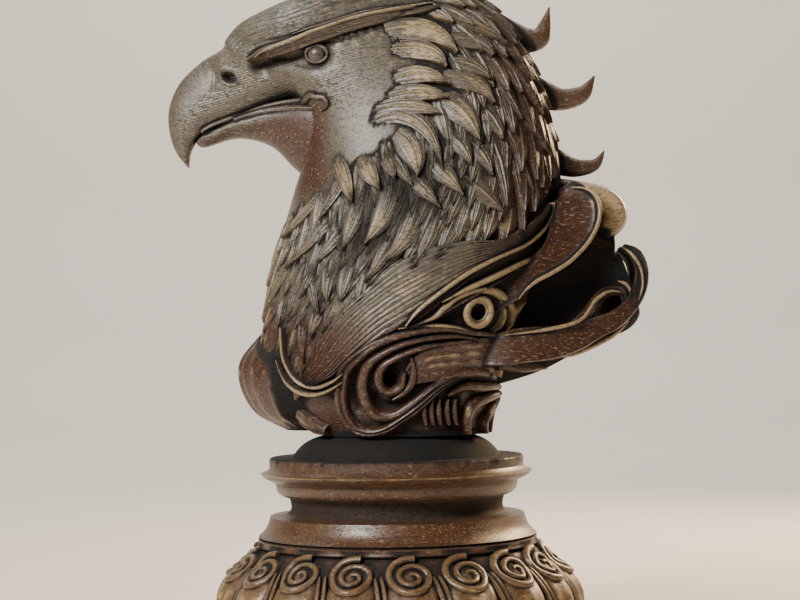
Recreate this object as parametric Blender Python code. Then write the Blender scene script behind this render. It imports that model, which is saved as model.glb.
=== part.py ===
"""Carved wooden eagle bust standing on a turned and carved wooden plinth.

Two pieces: eagle_bust, carved from one block, and plinth, turned and then carved
with a ring of scrolled leaves. Metres, +Z up. The origin is the centre of the
plinth's underside, the beak points to -X and the eagle's left side faces -Y.
"""
import math

import bpy
import numpy as np

# Driving sizes, in metres
BUST_HEIGHT = 0.229
SEAT_RADIUS = 0.037
SEAT_OVERHANG = 0.003
SEAT_GAP = 0.0003
FOOT_RADIUS = 0.092
FOOT_HEIGHT = 0.020
BELL_HEIGHT = 0.036
BELL_TOP_RADIUS = 0.069
BELL_BOTTOM_RADIUS = 0.0885
OGEE_HEIGHT = 0.0155
OGEE_TOP_RADIUS = 0.0635
COVE_HEIGHT = 0.0095
COVE_RADIUS = 0.0527
COLLAR_HEIGHT = 0.0190
COLLAR_RADIUS = 0.0632
BEAD_DEPTH = 0.0045
NECK_HEIGHT = 0.0105
NECK_FOOT_RADIUS = 0.052
NECK_BOW = 0.002
GROOVE_DEPTH = 0.0012

# The fillets and beads of the turned outline, in metres
COLLAR_FACE = 0.005
BEAD_DROP = 0.0075
BEAD_HALF = 0.0035
STEP_SETBACK = 0.003
STEP_TOP = 0.005
STEP_TAPER = 0.0007
STEP_FOOT = 0.0025
COVE_EDGE = 0.001
COVE_BOW = 0.0048
OGEE_LIP_SETBACK = 0.003
OGEE_LIP = 0.0015
OGEE_BOW = 0.001
BAND_HEIGHT = 0.0055
BAND_GROOVE = 0.0006
BAND_TOP = 0.0014
BAND_SWELL = 0.0003
BAND_FOOT = 0.001
FOOT_SETBACK = 0.001
FOOT_LIP = 0.0015
FOOT_BOW = 0.0035

# The ring of scrolled leaves, in metres where it is a length
SCROLL_COUNT = 18
SCROLL_TURN = math.radians(4.7)
SCROLL_RADIUS = 0.0112
SCROLL_BEAD = 0.0030
SCROLL_SQUASH = 0.68
LEAF_SETBACK = 0.003
LEAF_LENGTH = 0.030
LEAF_SWELL = 0.0048
LEAF_EDGE = 0.001
LEAF_SINK = 0.004

# Fineness of the solids
BUST_TRIANGLES = 4200
VOXEL = 1.35
TURN_STEPS = 36
BELL_STEPS = 3
COIL_STEPS = 9
FEATHER_ROWS = 6
FEATHER_COLUMNS = 8

PLINTH_HEIGHT = FOOT_HEIGHT + BELL_HEIGHT + OGEE_HEIGHT + COVE_HEIGHT + COLLAR_HEIGHT + NECK_HEIGHT

# Sections of head and neck from beak tip to foot, in drawn units with z counted from the seat:
# back line x, z; front line x, z; half width; fullness of the oval; how far the width sits to the back
SECTIONS = np.array([
    (-101.8, 135.1, -101.3, 134.7, 0.5, 1.00, 0.00),
    (-108.9, 145.5, -99.4, 144.3, 3.8, 0.95, -0.05),
    (-111.4, 162.0, -92.3, 152.7, 7.2, 0.85, -0.15),
    (-105.9, 176.9, -78.7, 158.0, 10.0, 0.80, -0.22),
    (-94.2, 188.2, -64.6, 162.5, 13.0, 0.76, -0.20),
    (-84.1, 194.1, -51.0, 167.0, 16.5, 0.75, -0.10),
    (-81.0, 199.5, -45.0, 166.4, 19.0, 0.75, -0.03),
    (-74.3, 206.4, -40.1, 161.8, 22.5, 0.76, 0.05),
    (-63.2, 212.2, -37.2, 153.7, 26.0, 0.78, 0.12),
    (-48.1, 218.4, -37.4, 146.2, 29.0, 0.80, 0.17),
    (-31.0, 223.6, -39.5, 139.3, 31.0, 0.80, 0.18),
    (8.1, 229.0, -46.2, 128.4, 33.5, 0.84, 0.12),
    (43.9, 217.3, -51.5, 112.5, 37.0, 0.88, 0.05),
    (67.4, 188.9, -56.8, 94.1, 42.5, 0.88, 0.00),
    (78.8, 151.7, -60.7, 73.1, 48.5, 0.86, 0.00),
    (80.1, 115.7, -62.6, 50.6, 52.5, 0.84, 0.00),
    (76.3, 96.7, -61.3, 38.1, 53.0, 0.83, 0.00),
    (69.4, 73.3, -56.0, 24.0, 50.5, 0.82, 0.00),
    (57.9, 43.5, -47.7, 11.4, 46.5, 0.82, 0.00),
    (47.4, 16.2, -38.9, 3.7, 42.5, 0.82, 0.00),
])
FOOT_CENTRE = 4.0
# One drawn unit in metres: the crown is the highest point of the sections
UNIT = BUST_HEIGHT / SECTIONS[:, 1].max()
# The lower beak and chin, in the same way
JAW = np.array([
    (-98.4, 148.5, -98.0, 147.7, 1.2, 0.90, 0.00),
    (-93.5, 151.9, -93.2, 145.1, 4.2, 0.85, 0.15),
    (-78.0, 159.1, -76.5, 149.3, 8.8, 0.80, 0.20),
    (-57.5, 166.5, -60.4, 145.3, 14.0, 0.80, 0.20),
    (-30.0, 170.5, -49.0, 134.5, 22.5, 0.80, 0.30),
    (-15.0, 168.5, -44.0, 129.5, 24.0, 0.80, 0.30),
])
# Where the plumage ends above the grooved band: degrees round the body, and the station there
PLUMAGE_END = np.array([
    (0, 14.8), (22, 14.9), (36, 15.2), (48, 15.5), (66, 15.25), (90, 15.0), (102, 15.1), (119, 15.8),
    (138, 16.8), (180, 17.3)
])


def clear_scene():
    for item in list(bpy.data.objects):
        bpy.data.objects.remove(item)


def along(table, place):
    """Smooth curve through the rows of a table: Catmull-Rom at a fractional row number."""
    place = np.clip(place, 0, len(table) - 1)
    row = np.minimum(place.astype(int), len(table) - 2)
    f = (place - row)[..., None]
    before, here = table[np.maximum(row - 1, 0)], table[row]
    after, last = table[row + 1], table[np.minimum(row + 2, len(table) - 1)]
    return 0.5 * (
        2 * here
        + (after - before) * f
        + (2 * before - 5 * here + 4 * after - last) * f**2
        + (3 * here - before - 3 * after + last) * f**3
    )


def spread(points, count):
    """The smooth curve through a few points, read at evenly spaced places."""
    table = np.array(points, float)
    return along(table, np.linspace(0, len(table) - 1, count))


def section_point(table, station, turn):
    """turn 0 is the back line, a quarter turn the left side, half a turn the front line.

    The oval's half width w follows w * sin(turn) ** fullness * (1 + shift * cos(turn)).
    """
    row = along(table, station)
    back, front = row[..., 0:2], row[..., 2:4]
    c, s = np.cos(turn), np.sin(turn)
    middle = (back + front) / 2 + (back - front) / 2 * c[..., None]
    side = -row[..., 4] * np.sign(s) * np.abs(s) ** row[..., 5] * (1 + row[..., 6] * c)
    return np.stack([middle[..., 0], side, middle[..., 1]], -1)


def foot_row():
    """The last section: the seat on the plinth, with its overhang all round."""
    reach = (SEAT_RADIUS + SEAT_OVERHANG) / UNIT
    return (FOOT_CENTRE + reach, -2.0, FOOT_CENTRE - reach, -2.0, reach, 0.82, 0.0)


BODY = np.vstack([SECTIONS, foot_row()])


def on_body(station, turn):
    """Point of the body, outward normal, and the steps per station and per radian there."""
    small = 1e-3
    turn = np.where(np.abs(np.sin(turn)) < 0.02, turn + 0.02, turn)
    place = section_point(BODY, station, turn)
    down = section_point(BODY, station + small, turn) - section_point(BODY, station - small, turn)
    round_ = section_point(BODY, station, turn + small) - section_point(BODY, station, turn - small)
    down /= 2 * small
    round_ /= 2 * small
    normal = np.cross(round_, down)
    normal /= np.linalg.norm(normal, axis=-1, keepdims=True) + 1e-12
    return place, normal, down, round_


def step_on_body(station, turn, move):
    """The change of station and turn that moves a point of the body by the vector move."""
    _, _, down, round_ = on_body(station, turn)
    a = (down * down).sum(-1)
    b = (down * round_).sum(-1)
    c = (round_ * round_).sum(-1)
    p = (down * move).sum(-1)
    q = (round_ * move).sum(-1)
    whole = a * c - b * b + 1e-9
    return (c * p - b * q) / whole, (a * q - b * p) / whole


def unit(vector):
    return vector / (np.linalg.norm(vector, axis=-1, keepdims=True) + 1e-12)


def ease(low, high, value):
    """0 below low, 1 above high, and smooth between."""
    f = np.clip((value - low) / (high - low), 0, 1)
    return f * f * (3 - 2 * f)


def closed_ring(top, under):
    """Rings that run across the top from left to right and back across the underside."""
    return np.concatenate([top, under[:, ::-1]], axis=1)


def strip_on_body(stations, turns, half_width, height, across=5, sink=1.5):
    """A carved band that lies on the body along a path of stations and turns.

    height(u, v) is how far it stands proud, u from 0 to 1 along and v from -1 to 1 across.
    """
    place, normal, _, _ = on_body(stations, turns)
    forward = unit(np.gradient(place, axis=0))
    sideways = unit(np.cross(normal, forward))
    u = np.linspace(0, 1, len(stations))[:, None]
    v = np.linspace(-1, 1, across)[None, :]
    move = sideways[:, None, :] * (half_width[:, None] * v)[..., None]
    s = np.broadcast_to(stations[:, None], move.shape[:2])
    t = np.broadcast_to(turns[:, None], move.shape[:2])
    ds, dt = step_on_body(s, t, move)
    top, out, _, _ = on_body(s + ds, t + dt)
    proud = height(u, v) * np.ones_like(move[..., 0])
    return closed_ring(top + out * proud[..., None], top - out * sink)


def feather(station, turn, lean, length, width, lift, rings=6, across=5):
    """One pointed feather: root sunk in the body, tip lifted, a ridge along its middle."""
    u = np.linspace(0, 1, rings)
    stations, turns = [station], [turn]
    for _ in range(rings - 1):
        s, t = np.array(stations[-1]), np.array(turns[-1])
        _, _, down, round_ = on_body(s, t)
        move = unit(down) * math.cos(lean) + unit(round_) * math.sin(lean)
        ds, dt = step_on_body(s, t, move * length / (rings - 1))
        stations.append(float(s + ds))
        turns.append(float(t + dt))
    shape = np.where(u < 0.4, 0.72 + 0.7 * u, 1 - ((u - 0.4) / 0.6) ** 2)
    half = width / 2 * np.maximum(shape, 0.06)

    def height(u, v):
        return -1.0 + (lift + 1.0) * u**0.7 + 0.8 * (1 - np.abs(v))

    return strip_on_body(np.array(stations), np.array(turns), half, height, across)


def room_below(station, turn):
    """How far a feather may reach down from here before it meets the grooved band."""
    _, _, down, _ = on_body(np.array(station), np.array(turn))
    end = np.interp(math.degrees(turn), PLUMAGE_END[:, 0], PLUMAGE_END[:, 1])
    return float((end - station) * np.linalg.norm(down))


def lean_of(station, turn):
    """The plumage turns towards the breast low on the sides of the neck."""
    degrees = math.degrees(turn)
    side = ease(25, 70, degrees) * (1 - ease(148, 172, degrees))
    return math.radians(28) * float(ease(12.3, 14.0, station) * side)


def plumage():
    """Rows of feathers from the back of the cheek down to the sweeping band."""
    found = []
    for row in range(FEATHER_ROWS):
        for column in range(FEATHER_COLUMNS):
            degrees = 9 + (column + 0.5 * (row % 2)) * 162 / FEATHER_COLUMNS
            turn = math.radians(degrees)
            start = 11.2 + 1.1 * float(ease(40, 66, degrees)) - 0.25 * float(ease(110, 150, degrees))
            station = start + row * (14.9 - start) / (FEATHER_ROWS - 1)
            size = 0.75 + 0.25 * float(ease(11.5, 13.5, station))
            lift = 2.4 + 2.6 * float(ease(25, 60, degrees))
            length = min(44 * size, room_below(station, turn))
            if length > 12:
                found.append(feather(station, turn, lean_of(station, turn), length, 20 * size, lift))
    return found


def cheek_locks():
    """The locks that edge the cheek, and the large one at its lower corner."""
    places = [(11.55, 52, 0.10), (11.95, 58, 0.12), (12.2, 66, 0.15), (12.3, 75, 0.18), (12.3, 85, 0.22)]
    found = [feather(s, math.radians(t), lean, 21, 10, 4.6) for s, t, lean in places]
    found.append(feather(12.15, math.radians(97), -0.55, 34, 15, 5.6))
    found.append(feather(11.9, math.radians(112), -0.3, 18, 10, 4.6))
    return found


def path_on_body(points, count):
    """A smooth path on the body from a few (station, degrees) points."""
    table = spread(points, count)
    return table[:, 0], np.radians(table[:, 1])


def band(points, widths, height, count=14, across=5, sink=1.5):
    stations, turns = path_on_body(points, count)
    half = np.interp(np.linspace(0, 1, count), np.linspace(0, 1, len(widths)), widths)
    return strip_on_body(stations, turns, half, height, across, sink)


def tube(points, radii, sides=8, count=12, flat=1.0):
    """A round or flattened horn along a smooth path, tapering through the radii."""
    path = spread(points, count)
    radius = np.interp(np.linspace(0, 1, count), np.linspace(0, 1, len(radii)), radii)
    forward = unit(np.gradient(path, axis=0))
    side = unit(np.cross(forward, np.array([0.0, 1.0, 0.001])))
    other = unit(np.cross(side, forward))
    angle = np.arange(sides) * 2 * math.pi / sides
    wide = side[:, None] * np.cos(angle)[None, :, None]
    deep = other[:, None] * (flat * np.sin(angle))[None, :, None]
    return path[:, None] + (wide + deep) * radius[:, None, None]


def blade(points, half_widths, thickness, cup=0.0, count=16, across=5):
    """A leaf that stands free: its path is in x, z with a depth y, its width lies in the x-z plane.

    The middle of the outer face is hollowed by cup.
    """
    path = spread(points, count)
    half = np.interp(np.linspace(0, 1, count), np.linspace(0, 1, len(half_widths)), half_widths)
    forward = unit(np.gradient(path, axis=0))
    outward = np.array([0.0, -1.0, 0.0])
    sideways = unit(np.cross(outward, forward))
    v = np.linspace(-1, 1, across)
    flat = path[:, None] + sideways[:, None] * (half[:, None] * v[None, :])[..., None]
    rounded = thickness * (1 - 0.45 * v**4)
    hollow = (rounded - cup * (1 - v**2))[None, :, None]
    return closed_ring(flat + outward * hollow, flat - outward * rounded[None, :, None])


def ring_on_body(station, degrees, radius, thick, steps=14, sides=6):
    """A round bead lying on the body: the middle circle of radius, the bead of half thickness thick."""
    place, normal, down, _ = (a[0] for a in on_body(np.array([station]), np.radians([degrees])))
    first = unit(down)
    second = np.cross(normal, first)
    a = np.arange(steps + 1) * 2 * math.pi / steps
    b = np.arange(sides) * 2 * math.pi / sides
    spoke = first * np.cos(a)[:, None] + second * np.sin(a)[:, None]
    bead = spoke[:, None] * np.cos(b)[None, :, None] + normal * np.sin(b)[None, :, None]
    return place + normal * 1.5 + spoke[:, None] * radius + bead * thick


def face():
    """Brow, eye and the lips of the beak."""
    brow = [(5.5, 84), (7.3, 78), (8.7, 72), (10.0, 66), (10.9, 59), (11.7, 42)]
    lips = [(3.4, 165), (5.0, 155), (7.4, 128), (9.6, 115), (10.75, 111), (10.6, 120), (9.2, 131)]
    return [
        band(brow, (2.5, 5.0, 5.5, 4.5, 3.0, 1.0), lambda u, v: 0.6 + (5.2 - 3.4 * u) * (1 - v**2), 16),
        band(lips, (0.8, 1.6, 2.2, 2.6, 2.6, 2.0, 1.0), lambda u, v: 0.4 + 1.8 * (1 - v**2), 18, 3),
        tube([(-37.2, -24.0, 186.0), (-37.2, -33.0, 186.0)], (6.5, 4.2), 10, 4),
    ]


def bands():
    """The sweeping bands, scrolls and leaves on one side of the bust."""
    grooved = [
        (17.1, 140), (16.85, 128), (16.48, 119), (16.16, 110), (15.86, 96), (15.7, 80), (15.66, 66),
        (15.76, 50), (15.5, 36), (15.1, 24)
    ]
    channel = [
        (16.78, 89), (16.68, 81), (16.54, 70), (16.36, 60), (16.18, 44), (15.94, 29), (15.4, 19), (15.0, 16)
    ]
    eyelid = [
        (16.74, 88), (16.64, 81), (16.54, 72), (16.58, 63), (16.84, 51), (17.16, 39), (17.44, 33), (17.6, 39)
    ]
    scroll = [
        (17.74, 34), (17.42, 62), (17.2, 76), (17.1, 87), (17.12, 98), (17.28, 108), (17.6, 117),
        (18.14, 123), (18.84, 122), (19.38, 110), (19.26, 94), (18.84, 84), (18.54, 74), (18.32, 64),
        (18.2, 58)
    ]
    volute = [
        (17.48, 76), (17.38, 86), (17.34, 94), (17.44, 101), (17.72, 104), (18.08, 101), (18.22, 93),
        (18.02, 87), (17.7, 87)
    ]
    plate = [(17.95, 88), (17.82, 78), (17.9, 64), (18.0, 46), (18.05, 28)]
    rim = [(14.9, 152), (15.9, 152), (16.58, 152), (17.14, 150), (17.46, 141), (17.56, 128), (17.46, 119)]
    leaf = [(16.1, 156), (16.9, 166), (17.7, 166), (18.6, 158), (19.0, 146)]
    found = [
        band(grooved, (3, 6.5, 9, 10.5, 11, 9.5, 7, 4, 2.8, 1.5), lambda u, v: 3.6 + 1.0 * (1 - v**2), 20),
        band(channel, (1, 2.2, 3.5, 5, 5, 4, 3, 1), lambda u, v: 2.0 + 3.4 * v**2, 18),
        band(eyelid, (0.8, 1.6, 2.2, 2.6, 2.8, 2.8, 2.4, 1), lambda u, v: 2.4 + 1.6 * (1 - v**2), 16, 3),
        ring_on_body(17.12, 57, 6.2, 2.4),
        band(
            scroll, (4, 5.2, 5.6, 6, 6, 6, 6, 6, 5.6, 5, 4, 3.2, 2.2), lambda u, v: 3.4 + 1.4 * (1 - v**2), 36
        ),
        band(volute, (1.4, 2.2, 2.6, 2.8, 2.8, 2.6, 2.2, 1.2), lambda u, v: 3.6 + 1.2 * (1 - v**2), 20, 3),
        band(plate, (4, 8.5, 9, 9, 8), lambda u, v: 2.8, 12),
        band(rim, (1, 1.8, 2.2, 2.4, 2.4, 2.0, 1), lambda u, v: 2.2 + 1.8 * (1 - v**2), 18, 3),
        band(leaf, (2, 6, 7, 6, 2), lambda u, v: 3.4 + 1.2 * (1 - v**2), 14),
    ]
    for station, degrees in ((18.7, 76), (18.75, 66), (18.6, 54), (18.6, 40), (18.9, 24)):
        fringe = [(station, degrees), (19.2, degrees - 3), (19.75, degrees - 6)]
        found.append(band(fringe, (2.5, 3.2, 2.4), lambda u, v: 1.6 + 1.8 * (1 - v**2), 7, 3))
    return found


def tail():
    """The swept-up leaves behind the neck on one side: the broad one above, the curling one below."""
    broad = [
        (46, -38, 62), (56, -37, 70), (66, -34, 78), (76, -31, 85), (83, -28, 93), (87, -25, 101),
        (88.5, -23, 109), (88, -20, 116), (85, -17, 121)
    ]
    curl = [
        (48, -36, 40), (62, -34, 43), (76, -31, 44), (88, -28, 47), (98, -25, 51), (108, -22, 55),
        (116, -19, 62), (121, -16, 70), (122.5, -14, 79), (120, -12, 87), (114, -10, 91)
    ]
    inner = [
        (84, -27, 50), (93, -25, 56.5), (98, -23, 62.5), (102, -21, 67), (107, -19, 69), (112, -18, 68),
        (113.5, -18, 62)
    ]
    return [
        blade(broad, (4, 6.5, 6, 6.5, 8.7, 11.4, 11.6, 9, 4), 5.0, 3.0),
        blade(curl, (8, 8.5, 8, 7, 5.5, 4.5, 3.6, 3.2, 3, 2.8, 1.5), 6.0, 2.5, 24),
        blade(inner, (2, 2.8, 2.8, 2.6, 2.4, 2.2, 1), 4.0, 0.0, 14, 3),
    ]


def middle_forms():
    """What lies on the centre plane: the rear lobe, the web behind the hollow, nape locks, breast leaf."""
    lobe = [
        (72, 0, 117), (84, 0, 118.6), (96, 0, 117), (103, 0, 115.3), (107.8, 0, 112.5), (110, 0, 109),
        (110, 0, 105), (107.5, 0, 101), (104.5, 0, 97.5)
    ]
    web = [(40, 0, 52), (60, 0, 60), (80, 0, 70), (98, 0, 73), (110, 0, 72), (117, 0, 74)]
    found = [
        blade(lobe, (8, 7, 6.5, 6.8, 6.8, 6.6, 6.3, 5.5, 3.5), 15.0, 0.0, 18, 5),
        blade(web, (30, 32, 32, 29, 20, 10), 13.0, 0.0, 10, 5),
    ]
    locks = (
        ([(36, 0, 214), (49, 0, 222), (57, 0, 229)], (5.5, 4, 0.4)),
        ([(52, 0, 203), (62, 0, 198), (70, 0, 196), (77, 0, 199), (81, 0, 213)], (8.5, 7.5, 6, 4.4, 0.4)),
        ([(68, 0, 173), (78, 0, 168), (87, 0, 166), (97, 0, 169), (103, 0, 178)], (8, 6.6, 4.8, 3.4, 0.4)),
        ([(72, 0, 140), (82, 0, 135), (92, 0, 131.5), (102, 0, 133), (107, 0, 140)], (8, 6.4, 4, 2.6, 0.4)),
    )
    for points, radii in locks:
        found.append(tube(points, radii, 8, 10, 0.8))
    found.append(breast_leaf())
    return found


def breast_leaf(count=12, across=9):
    """The leaf folded round the foot of the breast: in plan an arc, its middle furthest forward."""
    middle = [
        (-60, 0, 56), (-68, 0, 48), (-75, 0, 39), (-76.5, 0, 31), (-74, 0, 21), (-67, 0, 11), (-52, 0, 3)
    ]
    line = spread(middle, count)
    half = np.interp(np.linspace(0, 1, count), np.linspace(0, 1, 5), (12, 24, 28, 25, 12))
    v = np.linspace(-1, 1, across)
    fold, thick = 0.62, 16.0
    wrap = [(v**2)[None, :] * half[:, None] * fold, half[:, None] * v, np.zeros((count, across))]
    outer = line[:, None] + np.stack(wrap, -1)
    return closed_ring(outer, outer + np.array([thick, 0.0, 0.0]))


def side_locks():
    """The smaller lock beside the crown's first one."""
    return [tube([(28, -10, 212), (44, -13, 219), (53, -13, 225)], (5, 4, 0.4), 8, 8, 0.8)]


def volume(rings):
    """Signed volume of a closed shape from its rings, to tell which way it faces."""
    centre = rings.mean((0, 1))
    a = rings[:-1] - centre
    b = rings[1:] - centre
    a_next, b_next = np.roll(a, -1, 1), np.roll(b, -1, 1)
    return (np.cross(a, a_next) * b).sum() + (np.cross(b, a_next) * b_next).sum()


def add_shell(points, faces, rings):
    """Adds a shape of rings to the lists, with both ends capped and all faces outwards."""
    if volume(rings) < 0:
        rings = rings[:, ::-1]
    count, sides = rings.shape[:2]
    start = len(points)
    points.extend(map(tuple, rings.reshape(-1, 3)))
    for ring in range(count - 1):
        for side in range(sides):
            a = start + ring * sides + side
            b = start + ring * sides + (side + 1) % sides
            faces.append((a, b, b + sides, a + sides))
    faces.append(tuple(range(start, start + sides))[::-1])
    faces.append(tuple(range(start + (count - 1) * sides, start + count * sides)))


def loft(table, rings, sides):
    station, turn = np.meshgrid(
        np.linspace(0, len(table) - 1, rings), np.arange(sides) * 2 * math.pi / sides, indexing="ij"
    )
    return section_point(table, station, turn)


def new_object(name, points, faces, edges=()):
    mesh = bpy.data.meshes.new(name)
    mesh.from_pydata(points, list(edges), faces)
    mesh.update()
    item = bpy.data.objects.new(name, mesh)
    bpy.context.scene.collection.objects.link(item)
    return item


def helper(item):
    """A guide or a cutter: seen as wire, and no part of the finished piece."""
    item.hide_render = True
    item.display_type = "WIRE"
    return item


def triangle_count(item):
    graph = bpy.context.evaluated_depsgraph_get()
    evaluated = item.evaluated_get(graph)
    mesh = evaluated.to_mesh()
    mesh.calc_loop_triangles()
    count = len(mesh.loop_triangles)
    evaluated.to_mesh_clear()
    return count


def build_bust(wood):
    one_side = plumage() + cheek_locks() + face() + bands() + tail() + side_locks()
    mirrored = [rings * np.array([1, -1, 1]) for rings in one_side]
    points, faces = [], []
    for rings in [loft(BODY, 70, 40), loft(JAW, 14, 20)] + middle_forms() + one_side + mirrored:
        add_shell(points, faces, rings)
    placed = np.array(points) * UNIT + np.array([0, 0, PLINTH_HEIGHT])
    bust = new_object("eagle_bust", placed.tolist(), faces)
    fuse = bust.modifiers.new("fuse", "REMESH")
    fuse.mode = "VOXEL"
    fuse.voxel_size = VOXEL * UNIT
    count = triangle_count(bust)
    thin = bust.modifiers.new("thin", "DECIMATE")
    thin.ratio = min(1.0, BUST_TRIANGLES / count)

    # The underside is sawn flat, a hair above the plinth's seat
    seat = PLINTH_HEIGHT + SEAT_GAP
    reach = BUST_HEIGHT
    corners = [(x, y, z) for z in (seat - reach, seat) for y in (-reach, reach) for x in (-reach, reach)]
    sides = [(0, 2, 3, 1), (4, 5, 7, 6), (0, 1, 5, 4), (2, 6, 7, 3), (0, 4, 6, 2), (1, 3, 7, 5)]
    saw = helper(new_object("seat_saw", corners, sides))
    cut = bust.modifiers.new("seat", "BOOLEAN")
    cut.operation = "DIFFERENCE"
    cut.object = saw
    bust.data.materials.append(wood)
    return bust


def bell_radius(z):
    """The carved bell swells from its top radius to its bottom one, quickly at first."""
    f = np.clip((FOOT_HEIGHT + BELL_HEIGHT - z) / BELL_HEIGHT, 0, 1)
    return BELL_TOP_RADIUS + (BELL_BOTTOM_RADIUS - BELL_TOP_RADIUS) * np.sin(f * math.pi / 2)


def arc(start, end, bulge, steps):
    """Points from start to end in (radius, z), bowed sideways by bulge at the middle."""
    start, end = np.array(start, float), np.array(end, float)
    f = np.linspace(0, 1, steps + 1)[1:]
    run = end - start
    side = np.array([-run[1], run[0]]) / np.hypot(*run)
    return [tuple(start + run * t + side * bulge * math.sin(math.pi * t)) for t in f]


def plinth_profile():
    """The turned outline from the seat down the outer side to the underside."""
    neck = PLINTH_HEIGHT - NECK_HEIGHT
    collar = neck - COLLAR_HEIGHT
    cove = collar - COVE_HEIGHT
    ogee = cove - OGEE_HEIGHT
    bead = neck - BEAD_DROP
    step_radius = COLLAR_RADIUS - STEP_SETBACK
    band_top = ogee + BAND_HEIGHT
    band_groove = BELL_TOP_RADIUS - GROOVE_DEPTH
    line = [(0.0, PLINTH_HEIGHT), (SEAT_RADIUS, PLINTH_HEIGHT)]
    line += arc(line[-1], (NECK_FOOT_RADIUS, neck), NECK_BOW, 3)
    line += [(COLLAR_RADIUS, neck), (COLLAR_RADIUS, neck - COLLAR_FACE)]
    line += [(COLLAR_RADIUS + BEAD_DEPTH, bead), (COLLAR_RADIUS, bead - BEAD_HALF)]
    line += [(step_radius, bead - STEP_TOP), (step_radius - STEP_TAPER, collar + STEP_FOOT)]
    line += [(COVE_RADIUS + COVE_EDGE, collar)]
    line += arc(line[-1], (OGEE_TOP_RADIUS - OGEE_LIP_SETBACK, cove), -COVE_BOW, 3)
    line += [(OGEE_TOP_RADIUS, cove - OGEE_LIP)]
    line += arc(line[-1], (BELL_TOP_RADIUS, band_top), -OGEE_BOW, 2)
    line += [(band_groove, band_top - BAND_GROOVE), (BELL_TOP_RADIUS + BAND_SWELL, band_top - BAND_TOP)]
    line += [(BELL_TOP_RADIUS + 2 * BAND_SWELL, ogee + BAND_FOOT), (band_groove, ogee)]
    for step in range(1, BELL_STEPS + 1):
        z = ogee - BELL_HEIGHT * step / BELL_STEPS
        line.append((float(bell_radius(np.array(z))), z))
    line += [(BELL_BOTTOM_RADIUS - 2 * GROOVE_DEPTH, FOOT_HEIGHT - FOOT_LIP)]
    line += arc(line[-1], (FOOT_RADIUS - FOOT_SETBACK, 0.0), -FOOT_BOW, 3)
    line += [(0.0, 0.0)]
    return line


def on_bell(across, z, proud):
    """A point at an arc length across the bell, at height z and this far proud of it."""
    radius = bell_radius(z) + proud
    angle = across / bell_radius(z)
    return np.stack([radius * np.sin(angle), -radius * np.cos(angle), z], -1)


def leaf_shape(z):
    """How far down its leaf the height z is, from 0 to 1, and the leaf's half width there."""
    drop = np.clip((FOOT_HEIGHT + BELL_HEIGHT - LEAF_SETBACK - z) / LEAF_LENGTH, 0, 1)
    return drop, SCROLL_RADIUS * (0.62 + 0.42 * np.sin(math.pi * drop))


def leaf_swell(across, z):
    """The leaf swells as a half wave down its length and falls to a quarter of that at its edges."""
    drop, half = leaf_shape(z)
    v = np.clip(across / half, -1, 1)
    return (LEAF_EDGE + LEAF_SWELL * np.sin(math.pi * drop * 0.93)) * (1 - 0.75 * v**2)


def scroll_leaf():
    """One scroll of the ring, on its centre line at angle 0: a coiled bead over a swelling leaf."""
    bell_top = FOOT_HEIGHT + BELL_HEIGHT
    wind = np.linspace(0, 1, COIL_STEPS)
    angle = math.radians(80) + wind * math.radians(560)
    reach = SCROLL_RADIUS * (1 - 0.78 * wind)
    bead = SCROLL_BEAD * (1 - 0.4 * wind)
    across = reach * np.cos(angle)
    rise = bell_top + SCROLL_RADIUS * SCROLL_SQUASH * (np.sin(angle) * (1 - 0.78 * wind) - 1)
    path = on_bell(across, rise, leaf_swell(across, rise))
    forward = unit(np.gradient(path, axis=0))
    out = unit(path * np.array([1, 1, 0]))
    side = unit(np.cross(out, forward))
    # Each cross-section is a ridge: one corner outwards, two sunk below the bell
    aside = np.array([0.0, -0.9, 0.9])[None, :, None]
    proud = np.array([1.0, -1.4, -1.4])[None, :, None]
    coil = path[:, None] + (side[:, None] * aside + out[:, None] * proud) * bead[:, None, None]

    z = bell_top - LEAF_SETBACK - np.linspace(0, 1, 5) * LEAF_LENGTH
    _, half = leaf_shape(z)
    across = half[:, None] * np.array([-1.0, 0.0, 1.0])
    height = np.broadcast_to(z[:, None], across.shape)
    top = on_bell(across, height, leaf_swell(across, height))
    under = on_bell(across, height, -LEAF_SINK)
    return [coil, closed_ring(top, under)]


def build_plinth(wood):
    line = plinth_profile()
    points = [(r, 0.0, z) for r, z in line]
    plinth = new_object("plinth", points, [], [(i, i + 1) for i in range(len(points) - 1)])
    turned = plinth.modifiers.new("turned", "SCREW")
    turned.axis = "Z"
    turned.steps = TURN_STEPS
    turned.render_steps = TURN_STEPS
    turned.use_merge_vertices = True
    turned.merge_threshold = 0.00001

    carvings = bpy.data.collections.new("scroll_ring")
    bpy.context.scene.collection.children.link(carvings)
    for index in range(SCROLL_COUNT):
        turn = SCROLL_TURN + index * 2 * math.pi / SCROLL_COUNT
        c, s = math.cos(turn), math.sin(turn)
        spin = np.array([(c, s, 0), (-s, c, 0), (0, 0, 1)])
        for part, rings in enumerate(scroll_leaf()):
            points, faces = [], []
            add_shell(points, faces, rings @ spin)
            carved = new_object(f"scroll_{index}_{part}", [tuple(map(float, p)) for p in points], faces)
            bpy.context.scene.collection.objects.unlink(carved)
            carvings.objects.link(helper(carved))
    join = plinth.modifiers.new("carved", "BOOLEAN")
    join.operation = "UNION"
    join.operand_type = "COLLECTION"
    join.collection = carvings
    plinth.data.materials.append(wood)
    return plinth


def stained_wood(name, colour, roughness):
    material = bpy.data.materials.new(name)
    material.use_nodes = True
    shader = material.node_tree.nodes["Principled BSDF"]
    shader.inputs["Base Color"].default_value = (*colour, 1.0)
    shader.inputs["Roughness"].default_value = roughness
    return material


def main():
    clear_scene()
    build_bust(stained_wood("carved_wood", (0.20, 0.085, 0.04), 0.42))
    build_plinth(stained_wood("turned_wood", (0.15, 0.06, 0.03), 0.38))


main()
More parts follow.
